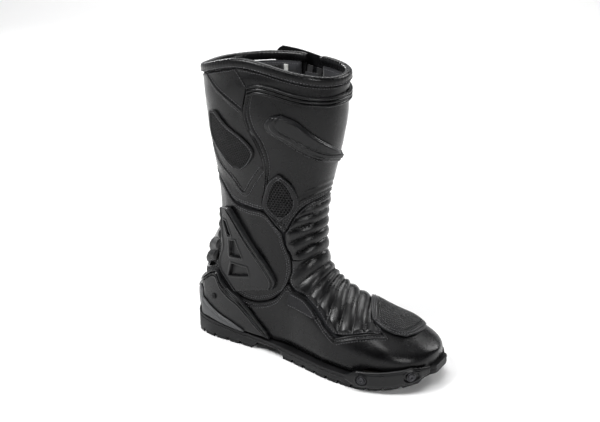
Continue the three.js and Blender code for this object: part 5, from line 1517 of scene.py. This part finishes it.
# ---- Closure tab ---------------------------------------------------------------------------------
# A leather flap folds over the top of the zip. It is sewn down along its front edge and closes on
# hook-and-loop patches at the other end.
TAB = {"front": 143, "rear": 66, "low": (287, 291), "high": (313, 325)}


def tab_shape(start, end, low_share, high_share):
    def line(share):
        xs = np.linspace(start, end, 4)
        t = (TAB["front"] - xs) / (TAB["front"] - TAB["rear"])
        low = TAB["low"][0] + (TAB["low"][1] - TAB["low"][0]) * t
        high = TAB["high"][0] + (TAB["high"][1] - TAB["high"][0]) * t
        return side(list(zip(xs, low + (high - low) * share)), MEDIAL)
    top, bottom = line(high_share), line(low_share)
    if end < 68:
        top, bottom = [*top[:-1], *side([(71, 323)], MEDIAL)], [*bottom[:-1], *side([(70, 292.5)], MEDIAL)]
        tip = side([(71, 323), (65.5, 318), (63.5, 308), (65, 297), (70, 292.5)], MEDIAL)
        return {"left": [top[0], bottom[0]], "right": tip, "top": top, "bottom": bottom}
    return {"left": [top[0], bottom[0]], "right": [top[-1], bottom[-1]], "top": top, "bottom": bottom}


pile = dotted("hook_and_loop_pile", (0.008, 0.008, 0.009), 0.95)
panel("closure_tab_leather", "closure_tab", tab_shape(TAB["front"], TAB["rear"], 0, 1), (2.2, 4.4),
      [smooth_leather, thread], "closure_tab", 1.0,
      lambda g: drape(g["p"], 0.2, 20, 47) - 0.3 + 0.4 * ease(g["edge"], 4.5, 6.5), 0.9,
      [(edge, (2.2,)) for edge in ("left", "right", "top", "bottom")] + [("right", (6.0,))])
panel("hook_patch_pile", "hook_patch", tab_shape(92, 70, 0.12, 0.7), (1.0, 1.7), pile, "closure_tab",
      0.8,
      lambda g: -0.3 + 0.3 * dots(g, 1.6, 1.0), 0.3, (), 60)
panel("loop_patch_pile", "loop_patch", tab_shape(96, 68, 0.05, 0.42), (-1.1, -0.5), [pile, thread], "leg",
      0.8,
      lambda g: -0.2 + 0.25 * dots(g, 1.5, 1.0), 0.3, (), 60)

# ---- Rim binding, collar padding and leg lining --------------------------------------------------
# The rim is bound in a rolled leather tube, open at the zip. Inside it a quilted foam collar and a
# knit lining run down the leg.
rim_angles = np.linspace(-64, 278, 420)
rim_rings, rim_face = [], []
phi = np.radians(np.arange(22) * 360 / 22)
for k, angle in enumerate(rim_angles):
    end_taper = min(1.0, 0.75 + 0.25 * min(k, 419 - k) / 4)
    pucker = (1 - 0.035 * abs(math.sin(math.radians(angle) * 46)) ** 6
              - 0.02 * math.sin(math.radians(angle) * 9))
    drop = 5 - 5 * np.sign(np.cos(phi)) * np.abs(np.cos(phi)) ** 0.75 * pucker * end_taper
    off = -3.5 + 4.1 * np.sign(np.sin(phi)) * np.abs(np.sin(phi)) ** 0.8 * pucker * end_taper
    start = below_rim(angle, 0)[0]
    ring_uv = np.stack([start + drop / 180, np.full(22, angle)], -1)
    rim_rings.append(onto(ring_uv, off)[0])
    rim_face.append(onto([start + 8.3 / 180, angle], 0.35))
rim_line = (np.array([q[0] for q in rim_face]), np.array([q[1] for q in rim_face]))
rim_stitch = stitches(trimmed(*rim_line, 2.0), 3.2)
binding = mesh_piece("rim_binding_roll", [loft(rim_rings), *rim_stitch], [smooth_leather, thread], "leg",
                     ("rim_binding",), 60)


def lining_panel(name, node_name, shape, layer, mats, relief, pitch, sew=(), body="leg"):
    """A lining whose finished face looks into the boot."""
    g = cut(pitch=pitch, **shape)
    depth = layer[0] + rolled(g["edge"], 0.6) - (relief(g) if relief else 0)
    g["face"] = g["p"] + g["n"] * np.asarray(depth)[..., None]
    back = g["p"] + g["n"] * layer[1]
    g["n"] = -g["n"]
    parts = [shell(g["face"], back)]
    for edge, distances in sew:
        for distance in distances:
            parts += stitches(inset(g, edge, distance))
    return mesh_piece(name, parts, mats, body, (node_name,), 60)


ring_angles = [-60 + 332 * i / 36 for i in range(37)]
collar_upper = [below_rim(a, BINDING + PANEL_GAP) for a in ring_angles]
collar_lower = [below_rim(a, BINDING + COLLAR) for a in ring_angles]
collar_shape = {"left": [collar_upper[0], collar_lower[0]], "right": [collar_upper[-1], collar_lower[-1]],
                "top": collar_upper, "bottom": collar_lower}
collar = lining_panel("collar_padding_quilt", "collar_padding", collar_shape, (-7.0, -4.6),
                      [lining_knit, thread],
                      lambda g: 2.6 * swell(g["s"] * 3) * ease(g["edge"], 0, 5) - 1.0, 1.6, [("top", (2.5,))])
lining_upper = [below_rim(a, BINDING + COLLAR + PANEL_GAP) for a in ring_angles]
lining_lower = [level(154, a) for a in ring_angles]
lining_panel("leg_lining_knit", "leg_lining",
             {"left": [lining_upper[0], lining_lower[0]], "right": [lining_upper[-1], lining_lower[-1]],
              "top": lining_upper, "bottom": lining_lower}, (-6.3, -4.9), [lining_knit],
             lambda g: drape(g["p"], 0.3, 40, 51) * ease(g["edge"], 0, 6), 3.0)

# ---- Labels --------------------------------------------------------------------------------------
# Two blank tapes sewn inside the collar: a dark woven patch and a short pale care tag.
dark_tape = knit("dark_label_tape", (0.006, 0.006, 0.0065), 0.5, pitch=0.5)
pale_tape = knit("pale_care_tape", (0.62, 0.62, 0.6), 0.8, pitch=0.4)
for label, label_node, angles, drops, tape, slot in (
        ("size_label_patch", "size_label", (-112, -130), (14, 28), dark_tape, "dark_label"),
        ("care_tag_tape", "care_tag", (-103, -108), (14, 34), pale_tape, "label")):
    edges = [[below_rim(a, d) for d in drops] for a in angles]
    lining_panel(label, label_node, {"left": edges[0], "right": edges[1]}, (-9.4, -8.7), [tape, thread],
                 lambda g: drape(g["p"], 0.25, 12, 53), 1.0,
                 [("top", (1.5,)), ("bottom", (1.5,))] if slot != "label" else ())

# ---- Flex zones round the ankle ------------------------------------------------------------------
# Ribbed, foam-backed leather closes the ankle at the front and back, over an inner knit sleeve. They
# are sewn to both leg and foot, but here ride neither body: their placement is baked into the mesh.
flex_edge = arc(FOOT_ARC + 0.5, 30, 10, 3)
flex_left = [(v + 0.004, a - 0.8) for v, a in [SHIN_BOTTOM[0], *flex_edge]]
flex_left[0] = (SHIN_BOTTOM[0][0] + 0.006, SHIN_BOTTOM[0][1] - 1)
flex_right = mirrored(flex_left)
flex_top = [(v + 0.006, a) for v, a in SHIN_BOTTOM]
flex_top[0], flex_top[-1] = flex_left[0], flex_right[0]
flex_bottom = [flex_left[-1], (1.374, 26), (1.379, 0), (1.374, -26), flex_right[-1]]


def flex_relief(g):
    fade = ease(np.minimum(g["left"], g["right"]), 0.8, 8) * ease(g["top"], 0.5, 6)
    folds = drape(g["p"], 0.4, 22, 11)
    return (RIBS["height"] * swell(rib_phase(g)) + folds - 0.6) * fade


front_flex, _ = panel("front_flex_padding", "front_flex_panel",
                      {"left": flex_left, "right": flex_right, "top": flex_top, "bottom": flex_bottom}, BASE,
                      [bellows_leather, thread], None, 0.9, flex_relief, 0.7, [("top", (1.8,))],
                      60,
                      hem=("left", "right", "top"))
rear_left = [level(z, a) for z, a in ((151.3, 158), (147, 157), (133, 156.2), (115, 156.2), (92.5, 156.2))]
rear_right = around(mirrored(rear_left))
rear_bottom = [rear_left[-1], level(83, 167), level(78.5, 180), level(83, 193), rear_right[-1]]


def rear_flex_relief(g):
    fade = ease(g["edge"], 0.2, 3)
    return (RIBS["height"] * swell(g["s"] * RIBS["rear"]) - 0.4 + drape(g["p"], 0.25, 10, 57)) * fade


rear_flex, _ = panel("rear_flex_padding", "rear_flex_panel",
                     {"left": rear_left, "right": rear_right, "bottom": rear_bottom}, BASE,
                     [bellows_leather, thread],
                     None, 0.9, rear_flex_relief, 0.7, [("top", (1.8,)), ("bottom", (1.8,))], 60)
SLEEVE_FACES = (-6.5, -7.7)
sleeve_rows = [(153, 153), (147, 140), (141, 126), (136, 112), (131, 98), (127, 86)]
sleeve_grid = []
for s in np.linspace(0, 5, 36):
    k = min(int(s), 4)
    front_z = sleeve_rows[k][0] + (sleeve_rows[k + 1][0] - sleeve_rows[k][0]) * (s - k)
    rear_z = sleeve_rows[k][1] + (sleeve_rows[k + 1][1] - sleeve_rows[k][1]) * (s - k)
    sleeve_grid.append([level(front_z + (rear_z - front_z) * (1 - math.cos(math.radians(a))) / 2, a, 0.5,
                              1.75)
                        for a in range(0, 360, 9)])
sleeve_uv = np.array(sleeve_grid)
sleeve_wave = drape(onto(sleeve_uv)[0], 0.3, 22, 59)
sleeve_outside = onto(sleeve_uv, SLEEVE_FACES[0] + sleeve_wave)[0]
sleeve_inside = onto(sleeve_uv, SLEEVE_FACES[1])[0]
sleeve = mesh_piece("ankle_sleeve_knit", [shell(sleeve_outside, sleeve_inside, True)], lining_knit, None,
                    ("ankle_sleeve",), 60)
for soft, low, high in ((front_flex, 0.124, 0.152), (rear_flex, 0.084, 0.146)):
    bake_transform(soft)
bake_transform(sleeve)
